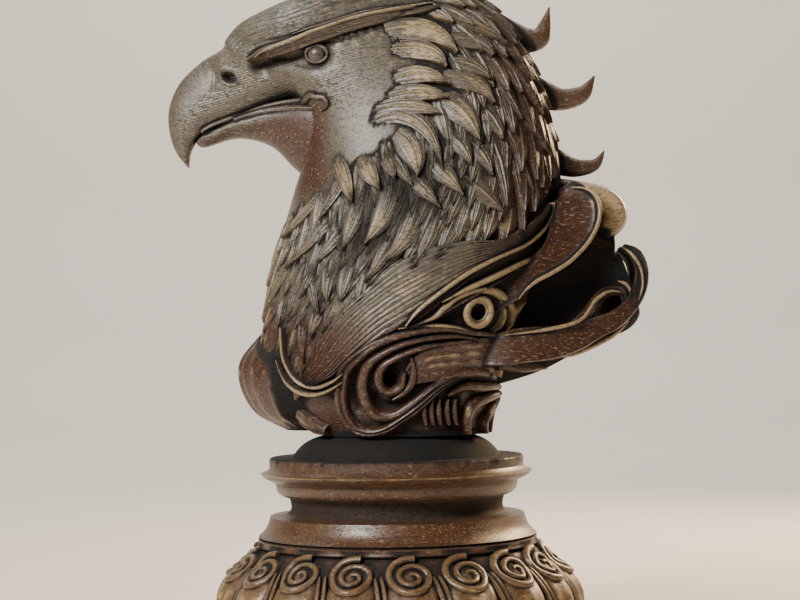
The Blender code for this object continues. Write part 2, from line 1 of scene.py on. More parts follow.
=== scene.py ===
"""Looks of the carved wooden eagle bust on its turned plinth.

Every carved form is a surface of two parameters, worked out in drawn units
(millimetres, z counted from the bust's seat) and placed in the frame in metres.
"""
import math

import bpy
import numpy as np
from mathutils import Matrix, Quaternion, Vector


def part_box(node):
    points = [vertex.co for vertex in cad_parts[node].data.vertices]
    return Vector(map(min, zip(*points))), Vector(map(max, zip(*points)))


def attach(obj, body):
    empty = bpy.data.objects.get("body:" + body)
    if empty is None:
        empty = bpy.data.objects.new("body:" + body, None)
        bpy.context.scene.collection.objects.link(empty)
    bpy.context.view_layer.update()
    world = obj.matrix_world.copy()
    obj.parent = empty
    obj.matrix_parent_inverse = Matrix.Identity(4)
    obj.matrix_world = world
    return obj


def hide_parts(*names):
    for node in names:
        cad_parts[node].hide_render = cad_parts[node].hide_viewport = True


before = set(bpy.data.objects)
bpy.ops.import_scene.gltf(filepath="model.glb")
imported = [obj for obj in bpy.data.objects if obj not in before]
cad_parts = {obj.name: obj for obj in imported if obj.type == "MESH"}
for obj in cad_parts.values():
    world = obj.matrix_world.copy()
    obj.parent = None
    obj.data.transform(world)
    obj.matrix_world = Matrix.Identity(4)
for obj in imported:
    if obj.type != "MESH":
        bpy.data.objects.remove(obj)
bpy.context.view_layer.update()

# The frame: the bust is drawn in millimetres above its seat on the plinth
UNIT = 0.001
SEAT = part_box("plinth")[1].z
SEAT_GAP = 0.3

# How much of the painted sheen the plinth's wood gets, evenly all over
PLINTH_SHEEN = 0.35

# Where the photograph was taken from: distance, side and height in drawn units, the rise and roll of the
# view, the units per pixel in the bust's middle plane, and the picture's middle in pixels
VIEW_DISTANCE = 890.0
VIEW_SIDE = 3.25
VIEW_HEIGHT = 37.0
VIEW_RISE = 60.0
VIEW_ROLL = 0.0175
VIEW_SCALE = 0.5
PICTURE_MIDDLE = (400.0, 300.0)

# Lines read from the photograph, in its pixels. The head:
EYE = (315, 52)
NOSTRIL = (228, 76)
EYE_SOCKET = [(262, 62), (280, 60), (300, 58), (318, 54)]
BROW_SHADE = [(254, 64), (275, 58), (298, 52), (320, 42), (350, 32), (398, 18)]
CERE_EDGE = [(206, 60), (213, 72), (212, 90)]
CERE_BUMP = [(222, 58), (236, 54), (246, 56)]
MOUTH_SHADE = [(196, 140), (210, 129), (230, 121), (250, 116), (270, 109), (290, 105), (312, 104)]
BROW = [(250, 58), (262, 52), (290, 43), (312, 35), (340, 26), (370, 18), (400, 12), (425, 9), (440, 8)]
BROW_LINE = [(292, 33), (312, 26), (335, 19), (362, 11), (392, 6)]
LIP = [
    (200, 130), (228, 117), (255, 110), (275, 102), (290, 99.5), (306, 98), (318, 96), (326, 99),
    (327, 105), (322, 110)
]
BROW_CREST = [(258, 55), (272, 47), (290, 41), (310, 33), (340, 23), (370, 15), (400, 10), (432, 6)]
# Painted shade on the head, in the nostril, round the eye and under the brow: lines, each with its
# strength and its radius in drawn units
SHADES = (
    ([(223, 74), (228, 76), (233, 79)], 1.0, 2.2),
    ([(296, 63), (310, 66), (322, 62), (328, 52), (323, 42)], 0.8, 1.3),
    ([(254, 66), (270, 62), (286, 58), (300, 52), (320, 42)], 0.95, 2.0),
    ([(200, 62), (208, 66), (212, 74)], 0.4, 0.8),
)
# The sweeping bands, the ring and the scroll:
LINE_ONE = [
    (405, 325), (418, 309), (440, 291), (465, 273), (495, 256), (520, 243), (536, 228), (543, 214),
    (545, 203)
]
LINE_TWO = [(440, 301), (460, 290), (482, 280), (505, 268), (530, 253), (545, 238), (549, 222)]
CRESCENT = [
    (412, 325), (432, 317), (444, 306), (455, 296), (470, 290), (487, 289), (500, 296), (508, 308),
    (507, 320), (500, 330)
]
RING = (476, 311)
RING_LIP = [(497, 300), (501, 311), (498, 323), (488, 332)]
RING_LEAF = [(506, 303), (511, 309), (514, 306), (519, 300)]
TOP_LINE = [(398, 328), (415, 325), (435, 325), (452, 327), (468, 330)]
CHANNEL = [
    (409, 326), (430, 313), (455, 296), (480, 278), (510, 258), (533, 239), (546, 218), (550, 202)
]
PLATE = [(410, 376), (430, 364), (455, 359), (481, 355), (500, 352)]
OUTER_RIDGE = [
    (500, 335), (472, 332), (445, 328), (420, 330), (395, 336), (375, 344), (358, 356), (346, 369),
    (343, 385), (343, 400), (348, 415), (358, 427), (370, 431), (384, 429), (402, 418), (422, 402),
    (436, 389), (455, 376)
]
SECOND_RIDGE = [
    (475, 338), (450, 335), (425, 338), (402, 344), (385, 352), (371, 362), (364, 376), (364, 392),
    (369, 406), (380, 415), (395, 414), (410, 404), (422, 394), (436, 382)
]
THIRD_RIDGE = [
    (440, 343), (425, 346), (410, 351), (394, 358), (383, 366), (379, 377), (383, 388), (392, 391),
    (401, 385), (404, 372)
]
OUTER_RIM = [(411, 356), (413, 370), (411, 382), (403, 392), (393, 398)]
FRONT_LINE = [
    (288, 328), (288, 342), (290, 357), (297, 372), (306, 381), (320, 385), (335, 380), (345, 372)
]
FRONT_LINE_TWO = [(284, 358), (288, 370), (294, 381), (304, 389), (316, 392), (330, 389), (345, 380)]
FRONT_PATCH = [(288, 366), (285, 380), (287, 395), (293, 409), (303, 422)]
FOLD_ONE = [(412, 404), (428, 390), (446, 377), (462, 371), (484, 372)]
FOLD_TWO = [(446, 394), (462, 386), (482, 386), (498, 388)]
CURL_ONE = [(464, 432), (464, 417), (470, 404), (482, 397), (496, 393)]
CURL_TWO = [(480, 434), (480, 420), (486.5, 408), (497, 399)]
CURL_THREE = [(489, 434), (491, 420), (496, 408)]
SMALL_LEAF = [(499, 357), (495, 364), (493, 374)]
FRINGE_LEFTS = (424, 431, 438, 446, 453)
FRINGE_TOP = 398
# Where the bust is cut deep: lines of pits, each with its depth and radius in drawn units
PITS = (
    ([(388, 366), (389, 374), (389, 382)], 8.0, 3.6),
    ([(476, 311), (476, 311.5)], 9.0, 3.4),
    ([(374, 396), (384, 406), (396, 404), (404, 398)], 4.5, 2.4),
    ([(410, 390), (422, 380), (436, 372), (452, 363)], 3.5, 2.2),
    ([(432, 322), (446, 317), (455, 312)], 3.5, 2.6),
    ([(508, 322), (516, 326), (526, 328)], 4.0, 3.0),
    ([(355, 372), (354, 390), (358, 408)], 2.6, 1.8),
    ([(448, 400), (456, 398), (456, 412), (452, 424)], 3.5, 2.4),
)
# The rims of the tail's leaves:
TAIL_TAB = [(500, 360), (524, 364), (547, 364)]
BROAD_RIM = [
    (519, 299), (526, 290), (537, 281), (552, 273), (568, 263), (582, 250), (592, 237), (599, 221),
    (600, 206), (595, 194), (585, 188), (572, 187)
]
INNER_RIM = [
    (505, 335), (530, 332), (555, 328), (574, 323), (584, 317), (590, 309), (595, 301), (602, 295),
    (611, 291), (621, 292)
]
CURL_LIP = [(618, 281), (626, 284), (630, 291), (629, 301), (626, 313)]
CURL_RIM = [(623, 247), (632, 254), (640, 266), (643, 281), (641, 294), (635, 308), (627, 319)]
CURL_KEEL = [(556, 356), (574, 353), (594, 345), (612, 335), (628, 321)]
# Root, middle and tip of each feather, and its width there:
FEATHERS = [
    ((372, 12), (405, 10), (440, 8), 10), ((385, 28), (425, 30), (456, 53), 22),
    ((390, 48), (425, 50), (446, 67), 18), ((392, 78), (420, 74), (449, 84), 16),
    ((385, 96), (420, 92), (447, 98), 16), ((372, 110), (408, 106), (441, 114), 16),
    ((370, 122), (412, 118), (443, 170), 16), ((396, 132), (412, 150), (418, 178), 26),
    ((388, 148), (398, 165), (414, 188), 14), ((440, 14), (475, 24), (502, 46), 20),
    ((448, 38), (472, 40), (490, 57), 18), ((448, 60), (470, 65), (487, 80), 16),
    ((444, 76), (470, 80), (492, 104), 22), ((440, 98), (462, 112), (478, 142), 26),
    ((476, 100), (492, 118), (500, 140), 20), ((440, 130), (458, 142), (470, 166), 20),
    ((466, 138), (480, 152), (490, 176), 18), ((428, 152), (440, 170), (462, 196), 22),
    ((335, 155), (345, 178), (355, 204), 15), ((360, 155), (369, 172), (382, 191), 17),
    ((382, 150), (390, 165), (396, 180), 13), ((400, 165), (415, 182), (440, 209), 20),
    ((455, 170), (480, 190), (500, 212), 22), ((388, 170), (388, 205), (366, 246), 28),
    ((362, 185), (356, 215), (345, 252), 20), ((415, 190), (412, 225), (386, 263), 22),
    ((437, 205), (433, 232), (411, 270), 16), ((466, 212), (456, 236), (435, 260), 11),
    ((486, 222), (483, 240), (472, 256), 9), ((397, 222), (390, 245), (366, 283), 16),
    ((412, 255), (396, 270), (372, 286), 12), ((358, 240), (348, 272), (343, 302), 20),
    ((378, 255), (366, 280), (361, 306), 14), ((336, 248), (329, 275), (331, 302), 16),
    ((318, 255), (312, 275), (307, 295), 10), ((322, 190), (306, 214), (288, 240), 10),
    ((338, 203), (322, 232), (290, 270), 11), ((352, 212), (337, 238), (320, 264), 13),
    ((345, 170), (338, 190), (322, 222), 10), ((310, 250), (312, 280), (322, 312), 14),
    ((300, 262), (296, 290), (292, 318), 10), ((326, 290), (318, 315), (314, 338), 14),
    ((304, 300), (304, 330), (308, 362), 12), ((288, 280), (284, 305), (284, 330), 9),
    ((470, 0), (505, 22), (530, 55), 12), ((490, 45), (515, 75), (532, 105), 14),
    ((500, 80), (522, 115), (536, 140), 13), ((486, 60), (505, 90), (518, 120), 13),
    ((500, 112), (514, 145), (529, 192), 12), ((520, 100), (536, 140), (541, 193), 11),
    ((506, 140), (518, 180), (517, 240), 12), ((488, 130), (500, 165), (503, 207), 15),
    ((535, 100), (547, 125), (552, 145), 9), ((455, 5), (485, 12), (510, 40), 14),
]
# How far down the neck the feathers reach: degrees round it, and the station there
PLUMAGE_END = [
    (0, 14.8), (22, 14.9), (36, 15.2), (48, 15.5), (66, 15.25), (90, 15.0), (102, 15.1), (119, 15.8),
    (138, 16.8), (180, 17.3)
]

# Plinth sizes, in millimetres
SEAT_RADIUS = 37.0
NECK_FOOT_RADIUS = 52.0
COLLAR_RADIUS = 63.2
BEAD_DEPTH = 4.5
COVE_RADIUS = 52.7
OGEE_TOP_RADIUS = 63.5
BELL_TOP_RADIUS = 69.0
BELL_BOTTOM_RADIUS = 88.5
FOOT_RADIUS = 92.0
FOOT_HEIGHT = 20.0
BELL_HEIGHT = 36.0
OGEE_HEIGHT = 15.5
COVE_HEIGHT = 9.5
COLLAR_HEIGHT = 19.0
NECK_HEIGHT = 10.5
GROOVE_DEPTH = 1.3
SCROLL_COUNT = 18
SCROLL_TURN = math.radians(4.7)
SCROLL_RADIUS = 11.2
SCROLL_SQUASH = 0.68
LEAF_SETBACK = 3.0
LEAF_LENGTH = 30.0
LEAF_SWELL = 4.8

# Head and neck in sections from the beak's tip to the foot, and the lower beak in the same way. The
# ends of each section, as pixels of the photograph: its back line's and its front line's
BACK_LINE = [
    (187.5, 167.5), (173, 147), (167.5, 114), (178, 84), (201, 61), (221, 49), (227, 38), (240, 24),
    (262, 12), (292, -1), (326, -12), (404, -24), (476, -2), (524, 54), (548, 128), (552, 200),
    (545, 238), (532, 285), (510, 345), (490, 400)
]
BREAST_LINE = [
    (188.5, 168.3), (192, 149), (206, 132), (233, 121), (261, 111.5), (288, 102), (300, 103), (310, 112),
    (316, 128), (316, 143), (312, 157), (299, 179), (289, 211), (279, 248), (272, 290), (269, 335),
    (272, 360), (283, 388), (300, 413), (318, 428)
]
JAW_TOP = [(194, 140.5), (203.5, 133.5), (234.5, 118.5), (275, 103), (330, 94), (360, 98)]
JAW_UNDER = [(195, 142), (204.5, 147), (237.5, 138), (270, 145.5), (293, 167), (303.5, 176.5)]
# Each section's half width, the fullness of its oval and how far its width sits to the back
BODY_WIDTHS = [
    (0.5, 1.00, 0.00), (3.8, 0.95, -0.05), (7.2, 0.85, -0.15), (10.0, 0.80, -0.22), (13.0, 0.76, -0.20),
    (16.5, 0.75, -0.10), (19.0, 0.75, -0.03), (22.5, 0.76, 0.05), (26.0, 0.78, 0.12), (29.0, 0.80, 0.17),
    (31.0, 0.80, 0.18), (33.5, 0.84, 0.12), (37.0, 0.88, 0.05), (42.5, 0.88, 0.00), (48.5, 0.86, 0.00),
    (52.5, 0.84, 0.00), (53.0, 0.83, 0.00), (50.5, 0.82, 0.00), (46.5, 0.82, 0.00), (42.5, 0.82, 0.00)
]
JAW_WIDTHS = [
    (1.2, 0.90, 0.00), (4.2, 0.85, 0.15), (8.8, 0.80, 0.20), (14.0, 0.80, 0.20), (22.5, 0.80, 0.30),
    (24.0, 0.80, 0.30)
]
# The sawn section on the plinth's seat: its back end and front end, half width, fullness and shift
SEAT_SECTION = (44.0, SEAT_GAP, -36.0, SEAT_GAP, 40.0, 0.82, 0.00)


# The picture's view


def picture_point(place):
    """Where a place of the bust lies in the photograph, in its pixels."""
    far = VIEW_SCALE * (VIEW_DISTANCE + place[..., 1]) / VIEW_DISTANCE
    side = (place[..., 0] - VIEW_SIDE) / far
    rise = (place[..., 2] - VIEW_HEIGHT) / far - VIEW_RISE
    x = PICTURE_MIDDLE[0] + side - VIEW_ROLL * rise
    y = PICTURE_MIDDLE[1] - rise - VIEW_ROLL * side
    return np.stack([x, y], -1)


def behind(points, depth):
    """The places at these depths (y, in drawn units) behind points of the photograph."""
    x, y = np.array(points, float).T
    depth = np.broadcast_to(np.array(depth, float), x.shape)
    far = VIEW_SCALE * (VIEW_DISTANCE + depth) / VIEW_DISTANCE
    right, up = x - PICTURE_MIDDLE[0], PICTURE_MIDDLE[1] - y
    side = right + VIEW_ROLL * up
    rise = up - VIEW_ROLL * right
    return np.stack([side * far + VIEW_SIDE, depth, (rise + VIEW_RISE) * far + VIEW_HEIGHT], -1)


def sections(back, front, widths):
    """Rows of back x, z, front x, z, half width, fullness and shift, on the bust's middle plane."""
    return np.column_stack([behind(back, 0)[:, ::2], behind(front, 0)[:, ::2], widths])


BODY = np.vstack([sections(BACK_LINE, BREAST_LINE, BODY_WIDTHS), SEAT_SECTION])
JAW = sections(JAW_TOP, JAW_UNDER, JAW_WIDTHS)


# Surfaces


def unit(vector):
    return vector / (np.linalg.norm(vector, axis=-1, keepdims=True) + 1e-12)


def ease(low, high, value):
    """0 below low, 1 above high, and smooth between."""
    f = np.clip((value - low) / (high - low), 0, 1)
    return f * f * (3 - 2 * f)


def along(table, place):
    """Smooth curve through the rows of a table: Catmull-Rom at a fractional row number."""
    place = np.clip(place, 0, len(table) - 1)
    row = np.minimum(place.astype(int), len(table) - 2)
    f = (place - row)[..., None]
    before, here = table[np.maximum(row - 1, 0)], table[row]
    after, last = table[row + 1], table[np.minimum(row + 2, len(table) - 1)]
    return 0.5 * (
        2 * here
        + (after - before) * f
        + (2 * before - 5 * here + 4 * after - last) * f**2
        + (3 * here - before - 3 * after + last) * f**3
    )


def spread(points, count):
    """The smooth curve through a few points, read at evenly spaced places."""
    table = np.array(points, float)
    return along(table, np.linspace(0, len(table) - 1, count))


def run(values, count):
    """A few values spread evenly over a length, with smooth passages between them."""
    return spread([(v,) for v in values], count)[:, 0]


def section_point(table, station, turn):
    """turn 0 is the back line, a quarter turn the left side, half a turn the front line.

    The oval's half width w follows w * sin(turn) ** fullness * (1 + shift * cos(turn)).
    """
    row = along(table, station)
    back, front = row[..., 0:2], row[..., 2:4]
    c, s = np.cos(turn), np.sin(turn)
    middle = (back + front) / 2 + (back - front) / 2 * c[..., None]
    side = -row[..., 4] * np.sign(s) * np.abs(s) ** row[..., 5] * (1 + row[..., 6] * c)
    return np.stack([middle[..., 0], side, middle[..., 1]], -1)


def on_surface(station, turn, table=BODY):
    """Point, outward normal, and the steps per station and per radian there."""
    small = 1e-3
    turn = np.where(np.abs(np.sin(turn)) < 0.02, turn + 0.02, turn)
    place = section_point(table, station, turn)
    down = section_point(table, station + small, turn) - section_point(table, station - small, turn)
    round_ = section_point(table, station, turn + small) - section_point(table, station, turn - small)
    down /= 2 * small
    round_ /= 2 * small
    normal = unit(np.cross(round_, down))
    return place, normal, down, round_


def step_on_surface(station, turn, move, table=BODY):
    """The change of station and turn that moves a point of the surface by the vector move."""
    _, _, down, round_ = on_surface(station, turn, table)
    a = (down * down).sum(-1)
    b = (down * round_).sum(-1)
    c = (round_ * round_).sum(-1)
    p = (down * move).sum(-1)
    q = (round_ * move).sum(-1)
    whole = a * c - b * b + 1e-9
    return (c * p - b * q) / whole, (a * q - b * p) / whole


def closed_ring(top, under):
    """Rings that run across the top and back across the underside."""
    return np.concatenate([top, under[..., ::-1, :]], axis=-2)


def with_stroke(rings, stroke):
    """Adds to each place its distance across the form, which the lines of the knife follow."""
    return np.concatenate([rings, np.broadcast_to(stroke, rings.shape[:-1])[..., None]], axis=-1)


def laid(stations, turns, half, v, height, sink=1.5, table=BODY):
    """A carved band on the surface along a path: half its width, places v across, height proud there."""
    place, normal, _, _ = on_surface(stations, turns, table)
    forward = unit(np.gradient(place, axis=-2))
    sideways = unit(np.cross(normal, forward))
    move = sideways[..., None, :] * (half[..., None] * v)[..., None]
    s = stations[..., None] + 0 * v
    t = turns[..., None] + 0 * v
    ds, dt = step_on_surface(s, t, move, table)
    top, out, _, _ = on_surface(s + ds, t + dt, table)
    stroke = half.max(-1)[..., None, None] * v
    face = with_stroke(top + out * height[..., None], stroke)
    return closed_ring(face, with_stroke(top - out * sink, stroke))


def band(points, widths, profile, count=60, across=13, table=BODY):
    """A band through a few (station, degrees) points. profile(u, v) is its height along and across."""
    path = spread(points, count)
    half = np.maximum(run(widths, count), 0.15)
    u = np.linspace(0, 1, count)[:, None]
    v = np.linspace(-1, 1, across)
    height = profile(u, v) + 0 * u * v
    return laid(path[:, 0], np.radians(path[:, 1]), half, v, height, table=table)


def roll(base, rise):
    """The rounded height across a bead."""
    return lambda u, v: base + rise * np.sqrt(1 - 0.98 * v**2)


def tube(points, radii, count=40, sides=20, flat=1.0, gouge=0.0):
    """A horn along a smooth path: radii along it, flattened sideways, its inner side gouged hollow."""
    path = spread(points, count)
    radius = np.maximum(run(radii, count), 0.12)
    forward = unit(np.gradient(path, axis=0))
    side = unit(np.cross(forward, np.array([0.0, 1.0, 0.001])))
    other = unit(np.cross(side, forward))
    angle = np.arange(sides) * 2 * math.pi / sides
    bite = 1 - gouge * np.exp(-((angle - math.pi) / 0.7) ** 2)
    reach = side[:, None] * (bite * np.cos(angle))[None, :, None]
    reach = reach + other[:, None] * (flat * np.sin(angle))[None, :, None]
    rings = path[:, None] + reach * radius[:, None, None]
    return with_stroke(rings, max(radii) * np.sin(angle))


def blade(points, widths, thickness, profile, count=60, across=17):
    """A leaf standing free, its width in the x-z plane: profile(u, v) is cut from its outer face."""
    path = spread(points, count)
    half = np.maximum(run(widths, count), 0.2)
    forward = unit(np.gradient(path, axis=0))
    outward = np.array([0.0, -1.0, 0.0])
    sideways = unit(np.cross(outward, forward))
    u = np.linspace(0, 1, count)[:, None]
    v = np.linspace(-1, 1, across)
    flat = path[:, None] + sideways[:, None] * (half[:, None] * v)[..., None]
    rounded = thickness * (1 - 0.45 * v**6) + 0 * u
    face = rounded - profile(u, v)
    return closed_ring(flat + outward * face[..., None], flat - outward * rounded[..., None])


def loft(table, stations, sides, proud=None):
    """The skin of a section table, with proud(points, station) added along its normal."""
    station, turn = np.meshgrid(stations, np.arange(sides) * 2 * math.pi / sides, indexing="ij")
    place, normal, _, _ = on_surface(station, turn, table)
    rings = section_point(table, station, turn)
    if proud is not None:
        rings = place + normal * proud(place, station)[..., None]
    return with_stroke(rings, rings[..., 2] - 0.25 * rings[..., 0])


def mirrored(shapes):
    return [rings * np.array([1.0, -1.0, 1.0, 1.0])[: rings.shape[-1]] for rings in shapes]


def both_sides(shapes):
    return shapes + mirrored(shapes)


# Places on the body seen in the picture


def seen_at(points):
    """Station and degrees where each point of the photograph meets the body's left side.

    The nearest of a net of places, and from it a few short steps towards the point.
    """
    goal = np.array(points, float).reshape(-1, 2)
    s, t = np.meshgrid(np.linspace(0.2, 19.9, 198), np.radians(np.linspace(3, 177, 88)), indexing="ij")
    net = picture_point(section_point(BODY, s, t)).reshape(-1, 2)
    nearest = ((goal[:, None] - net) ** 2).sum(-1).argmin(-1)
    s, t = s.ravel()[nearest], t.ravel()[nearest]
    small = 0.01
    for _ in range(6):
        here = picture_point(section_point(BODY, s, t))
        down = (picture_point(section_point(BODY, s + small, t)) - here) / small
        round_ = (picture_point(section_point(BODY, s, t + small)) - here) / small
        miss = goal - here
        whole = down[:, 0] * round_[:, 1] - down[:, 1] * round_[:, 0]
        whole = np.where(np.abs(whole) < 1.0, 1e9, whole)
        s = s + np.clip((miss[:, 0] * round_[:, 1] - miss[:, 1] * round_[:, 0]) / whole, -0.05, 0.05)
        t = t + np.clip((down[:, 0] * miss[:, 1] - down[:, 1] * miss[:, 0]) / whole, -0.03, 0.03)
    return np.stack([s, np.degrees(t)], -1).reshape(np.shape(points))


# Meshes


def facing(rings):
    """Signed volume of a closed shape of rings, to tell whether it is inside out."""
    middle = rings.mean((0, 1))
    a, b = rings[:-1] - middle, rings[1:] - middle
    a_next, b_next = np.roll(a, -1, 1), np.roll(b, -1, 1)
    return (np.cross(a, a_next) * b).sum() + (np.cross(b, a_next) * b_next).sum()


def mesh_piece(name, shapes, material, node, sharp=38, sheen=1.0):
    """One piece from closed shapes of rings: arrays of ring, corner, and x, y, z and stroke."""
    points, faces, strokes = [], [], []
    start = 0
    for rings in shapes:
        stroke = rings[..., 3] if rings.shape[-1] == 4 else 0 * rings[..., 0]
        rings = rings[..., :3]
        if facing(rings) < 0:
            rings, stroke = rings[:, ::-1], stroke[:, ::-1]
        count, sides = rings.shape[:2]
        points.append(rings.reshape(-1, 3))
        strokes.append(stroke.ravel())
        i = np.arange(count - 1)[:, None] * sides
        j = np.arange(sides)[None, :]
        a = start + i + j
        b = start + i + (j + 1) % sides
        faces += np.stack([a, b, b + sides, a + sides], -1).reshape(-1, 4).tolist()
        faces.append(list(range(start, start + sides))[::-1])
        faces.append(list(range(start + (count - 1) * sides, start + count * sides)))
        start += count * sides
    place = np.concatenate(points)
    place[:, 2] = np.maximum(place[:, 2], SEAT_GAP) if node == "eagle_bust" else place[:, 2]
    mesh = bpy.data.meshes.new(name)
    mesh.from_pydata((place * UNIT + np.array([0, 0, SEAT])).tolist(), [], faces)
    mesh.update()
    mesh.shade_smooth()
    mesh.set_sharp_from_angle(angle=math.radians(sharp))
    mesh.materials.append(material)
    keep(mesh, "stroke", np.concatenate(strokes))
    x, z = place[:, 0], place[:, 2]
    # The pale attribute is a painted sheen: paler where the key light would fall on the bust, and an even
    # share on the plinth
    keep(mesh, "pale", PLINTH_SHEEN + 0 * x if node == "plinth" else sheen * painted_sheen_share(x, z))
    item = bpy.data.objects.new(name, mesh)
    bpy.context.scene.collection.objects.link(item)
    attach(item, "root")
    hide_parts(node)
    return item


def painted_sheen_share(x, z):
    """How much painted sheen the bust gets: the head most, the foot, the nape and the throat least, which
    stay darker as painted shade.
    """
    return ease(30, 66, z + 0.25 * x) * (1 - 0.75 * ease(30, 74, x)) * (1 - 0.93 * throat(x, z))


def throat(x, z):
    """1 under the line of the mouth, from the lower beak's tip back to the first feathers."""
    mouth = 149.5 + 0.25 * (x + 100)
    return ease(1, -4, z - mouth) * ease(-20, -38, x) * ease(110, 124, z) * ease(-98, -92, x)


def keep(mesh, name, values):
    """Stores one value for each point of the mesh."""
    attribute = mesh.attributes.new(name, "FLOAT", "POINT")
    attribute.data.foreach_set("value", np.asarray(values, np.float32))


# Hollows and edges

# How far under and over the surface it is gathered and looked for, in widths of the bell curve
GATHER_DEPTH = 0.5
LOOK_HEIGHT = 0.8


def blurred(grid, sigma):
    """The grid smoothed by a bell curve of this many cells along each axis."""
    reach = math.ceil(2.4 * sigma)
    steps = range(-reach, reach + 1)
    weights = np.exp(-0.5 * (np.array(steps) / sigma) ** 2)
    shares = (weights / weights.sum()).astype(np.float32)
    for axis in range(3):
        grid = sum(np.roll(grid, step, axis) * share for step, share in zip(steps, shares))
    return grid


def crowding(places, normals, areas, cell, sigma):
    """How much carved surface lies near each point, against the usual amount.

    The surface is gathered just below itself and looked for just above itself, so that it is
    dense in a hollow and thin at an edge.
    """
    low = places.min(0) - 4 * sigma
    size = np.ceil((places.max(0) + 4 * sigma - low) / cell).astype(int) + 1
    inside = ((places - normals * GATHER_DEPTH * sigma - low) / cell + 0.5).astype(int)
    flat = np.ravel_multi_index(inside.T, size)
    grid = np.bincount(flat, areas, size.prod()).astype(np.float32).reshape(size)
    grid = blurred(grid, sigma / cell)
    spot = (places + normals * LOOK_HEIGHT * sigma - low) / cell
    corner = spot.astype(int)
    part = spot - corner
    found = np.zeros(len(places))
    for bits in np.ndindex(2, 2, 2):
        weight = np.prod(np.where(bits, part, 1 - part), axis=1)
        x, y, z = (corner + bits).T
        found += weight * grid[x, y, z]
    fall = math.exp(-0.5 * (GATHER_DEPTH + LOOK_HEIGHT) ** 2)
    plane = cell**3 * fall / (sigma * math.sqrt(2 * math.pi))
    return found / plane


def note_hollows(items):
    """Stores for each point the painted shade of its hollow surroundings, and the wear and painted
    highlight of the edge it is on.
    """
    places, normals, areas = [], [], []
    for item in items:
        mesh = item.data
        co = np.empty(len(mesh.vertices) * 3, np.float32)
        no = np.empty(len(mesh.vertices) * 3, np.float32)
        mesh.vertices.foreach_get("co", co)
        mesh.vertex_normals.foreach_get("vector", no)
        area = np.empty(len(mesh.polygons), np.float32)
        corners = np.empty(len(mesh.polygons), np.int32)
        corner_points = np.empty(len(mesh.loops), np.int32)
        mesh.polygons.foreach_get("area", area)
        mesh.polygons.foreach_get("loop_total", corners)
        mesh.loops.foreach_get("vertex_index", corner_points)
        share = np.repeat(area / corners, corners) / UNIT**2
        places.append(co.reshape(-1, 3) / UNIT)
        normals.append(no.reshape(-1, 3))
        areas.append(np.bincount(corner_points, share, len(mesh.vertices)))
    place, normal, area = np.concatenate(places), np.concatenate(normals), np.concatenate(areas)
    fine = crowding(place, normal, area, 1.0, 1.3)
    broad = crowding(place, normal, area, 2.4, 4.2)
    place = place - np.array([0, 0, SEAT / UNIT])
    zones = shaded_zones(place)
    smooth = 1 - 0.8 * throat(place[:, 0], place[:, 2])
    start = 0
    for item in items:
        piece = slice(start, start + len(item.data.vertices))
        near = fine[piece] / max(1, np.percentile(fine[piece], 42)) ** 0.6
        wide = broad[piece] / max(1, np.percentile(broad[piece], 42)) ** 0.8
        # Painted shade: the darkest colour is laid where the surface crowds round a hollow and shade falls
        hollow_shade = smooth[piece] * np.maximum(ease(1.15, 2.3, near), 0.9 * ease(1.4, 2.6, wide))
        if item.name == "head_and_neck":
            hollow_shade = np.maximum(hollow_shade, pit_shade(place[piece]))
        keep(item.data, "hollow_shade", np.maximum(hollow_shade, zones[piece]))
        edge = fine[piece] / max(1, np.percentile(fine[piece], 42)) ** EDGE_SHARE.get(item.name, 0.2)
        nape = 1 - 0.85 * ease(24, 62, place[piece, 0]) * ease(95, 105, place[piece, 2])
        # Wear and painted highlight: pale gold on thin edges, less on the nape and none in painted shade
        wear_and_highlight = WEAR_AND_HIGHLIGHT.get(item.name, 1.0) * nape * ease(0.8, 0.42, edge) * (1 - hollow_shade)
        keep(item.data, "wear_and_highlight", np.maximum(wear_and_highlight, EVEN_WEAR_AND_HIGHLIGHT.get(item.name, 0.0)))
        start = piece.stop


# How much of the edges' wear and painted highlight some pieces took, how much of their crowding is only
# overlap, and the even wear and painted highlight that some have all over
WEAR_AND_HIGHLIGHT = {"eyes": 0.25, "plumage_left": 0.66, "plumage_right": 0.66}
EDGE_SHARE = {
    "plumage_left": 0.46, "plumage_right": 0.46, "brow_and_lips": 0.42, "scroll_bands": 0.36,
    "grooved_bands": 0.35, "tail_leaves": 0.35, "scroll_ring": 0.55, "turned_plinth": 0.3,
    "nape_locks": 0.3, "breast_leaf": 0.3
}
EVEN_WEAR_AND_HIGHLIGHT = {
    "tail_lobe": 0.62, "nape_locks": 0.08, "scroll_ring": 0.12, "tail_rims": 0.5, "highlit_lines": 0.45
}


def pit_shade(place):
    """The painted shade in the nostrils, under the brows and in the cuts of the scroll."""
    seen = place * np.array([1, 0, 1])
    found = np.zeros(len(place))
    stains = [(picture, 0.97, radius) for picture, _, radius in PITS] + list(SHADES)
    for picture, strength, radius in stains:
        curve = body_curve(seen_at(picture), 18) * np.array([1, 0, 1])
        distance = distance_to(seen, curve)
        found = np.maximum(found, strength * np.exp(-((distance / radius) ** 2)))
    return found


def shaded_zones(place):
    """Where painted shade lies thickest: the plinth's neck and cove, and the tail's pocket."""
    x, y, z = place.T
    collar = -NECK_HEIGHT - COLLAR_HEIGHT
    neck = ease(-NECK_HEIGHT - 0.3, -NECK_HEIGHT + 0.3, z) * (z < 0.1)
    cove = ease(collar - COVE_HEIGHT - 1, collar - COVE_HEIGHT + 2, z) * ease(collar + 2, collar - 1, z)
    pocket = ease(40, 56, x) * ease(17, 13, np.abs(y)) * ease(97, 90, z) * (z > 0)
    return np.maximum(np.maximum(neck, 0.8 * cove), pocket)


# Plumage


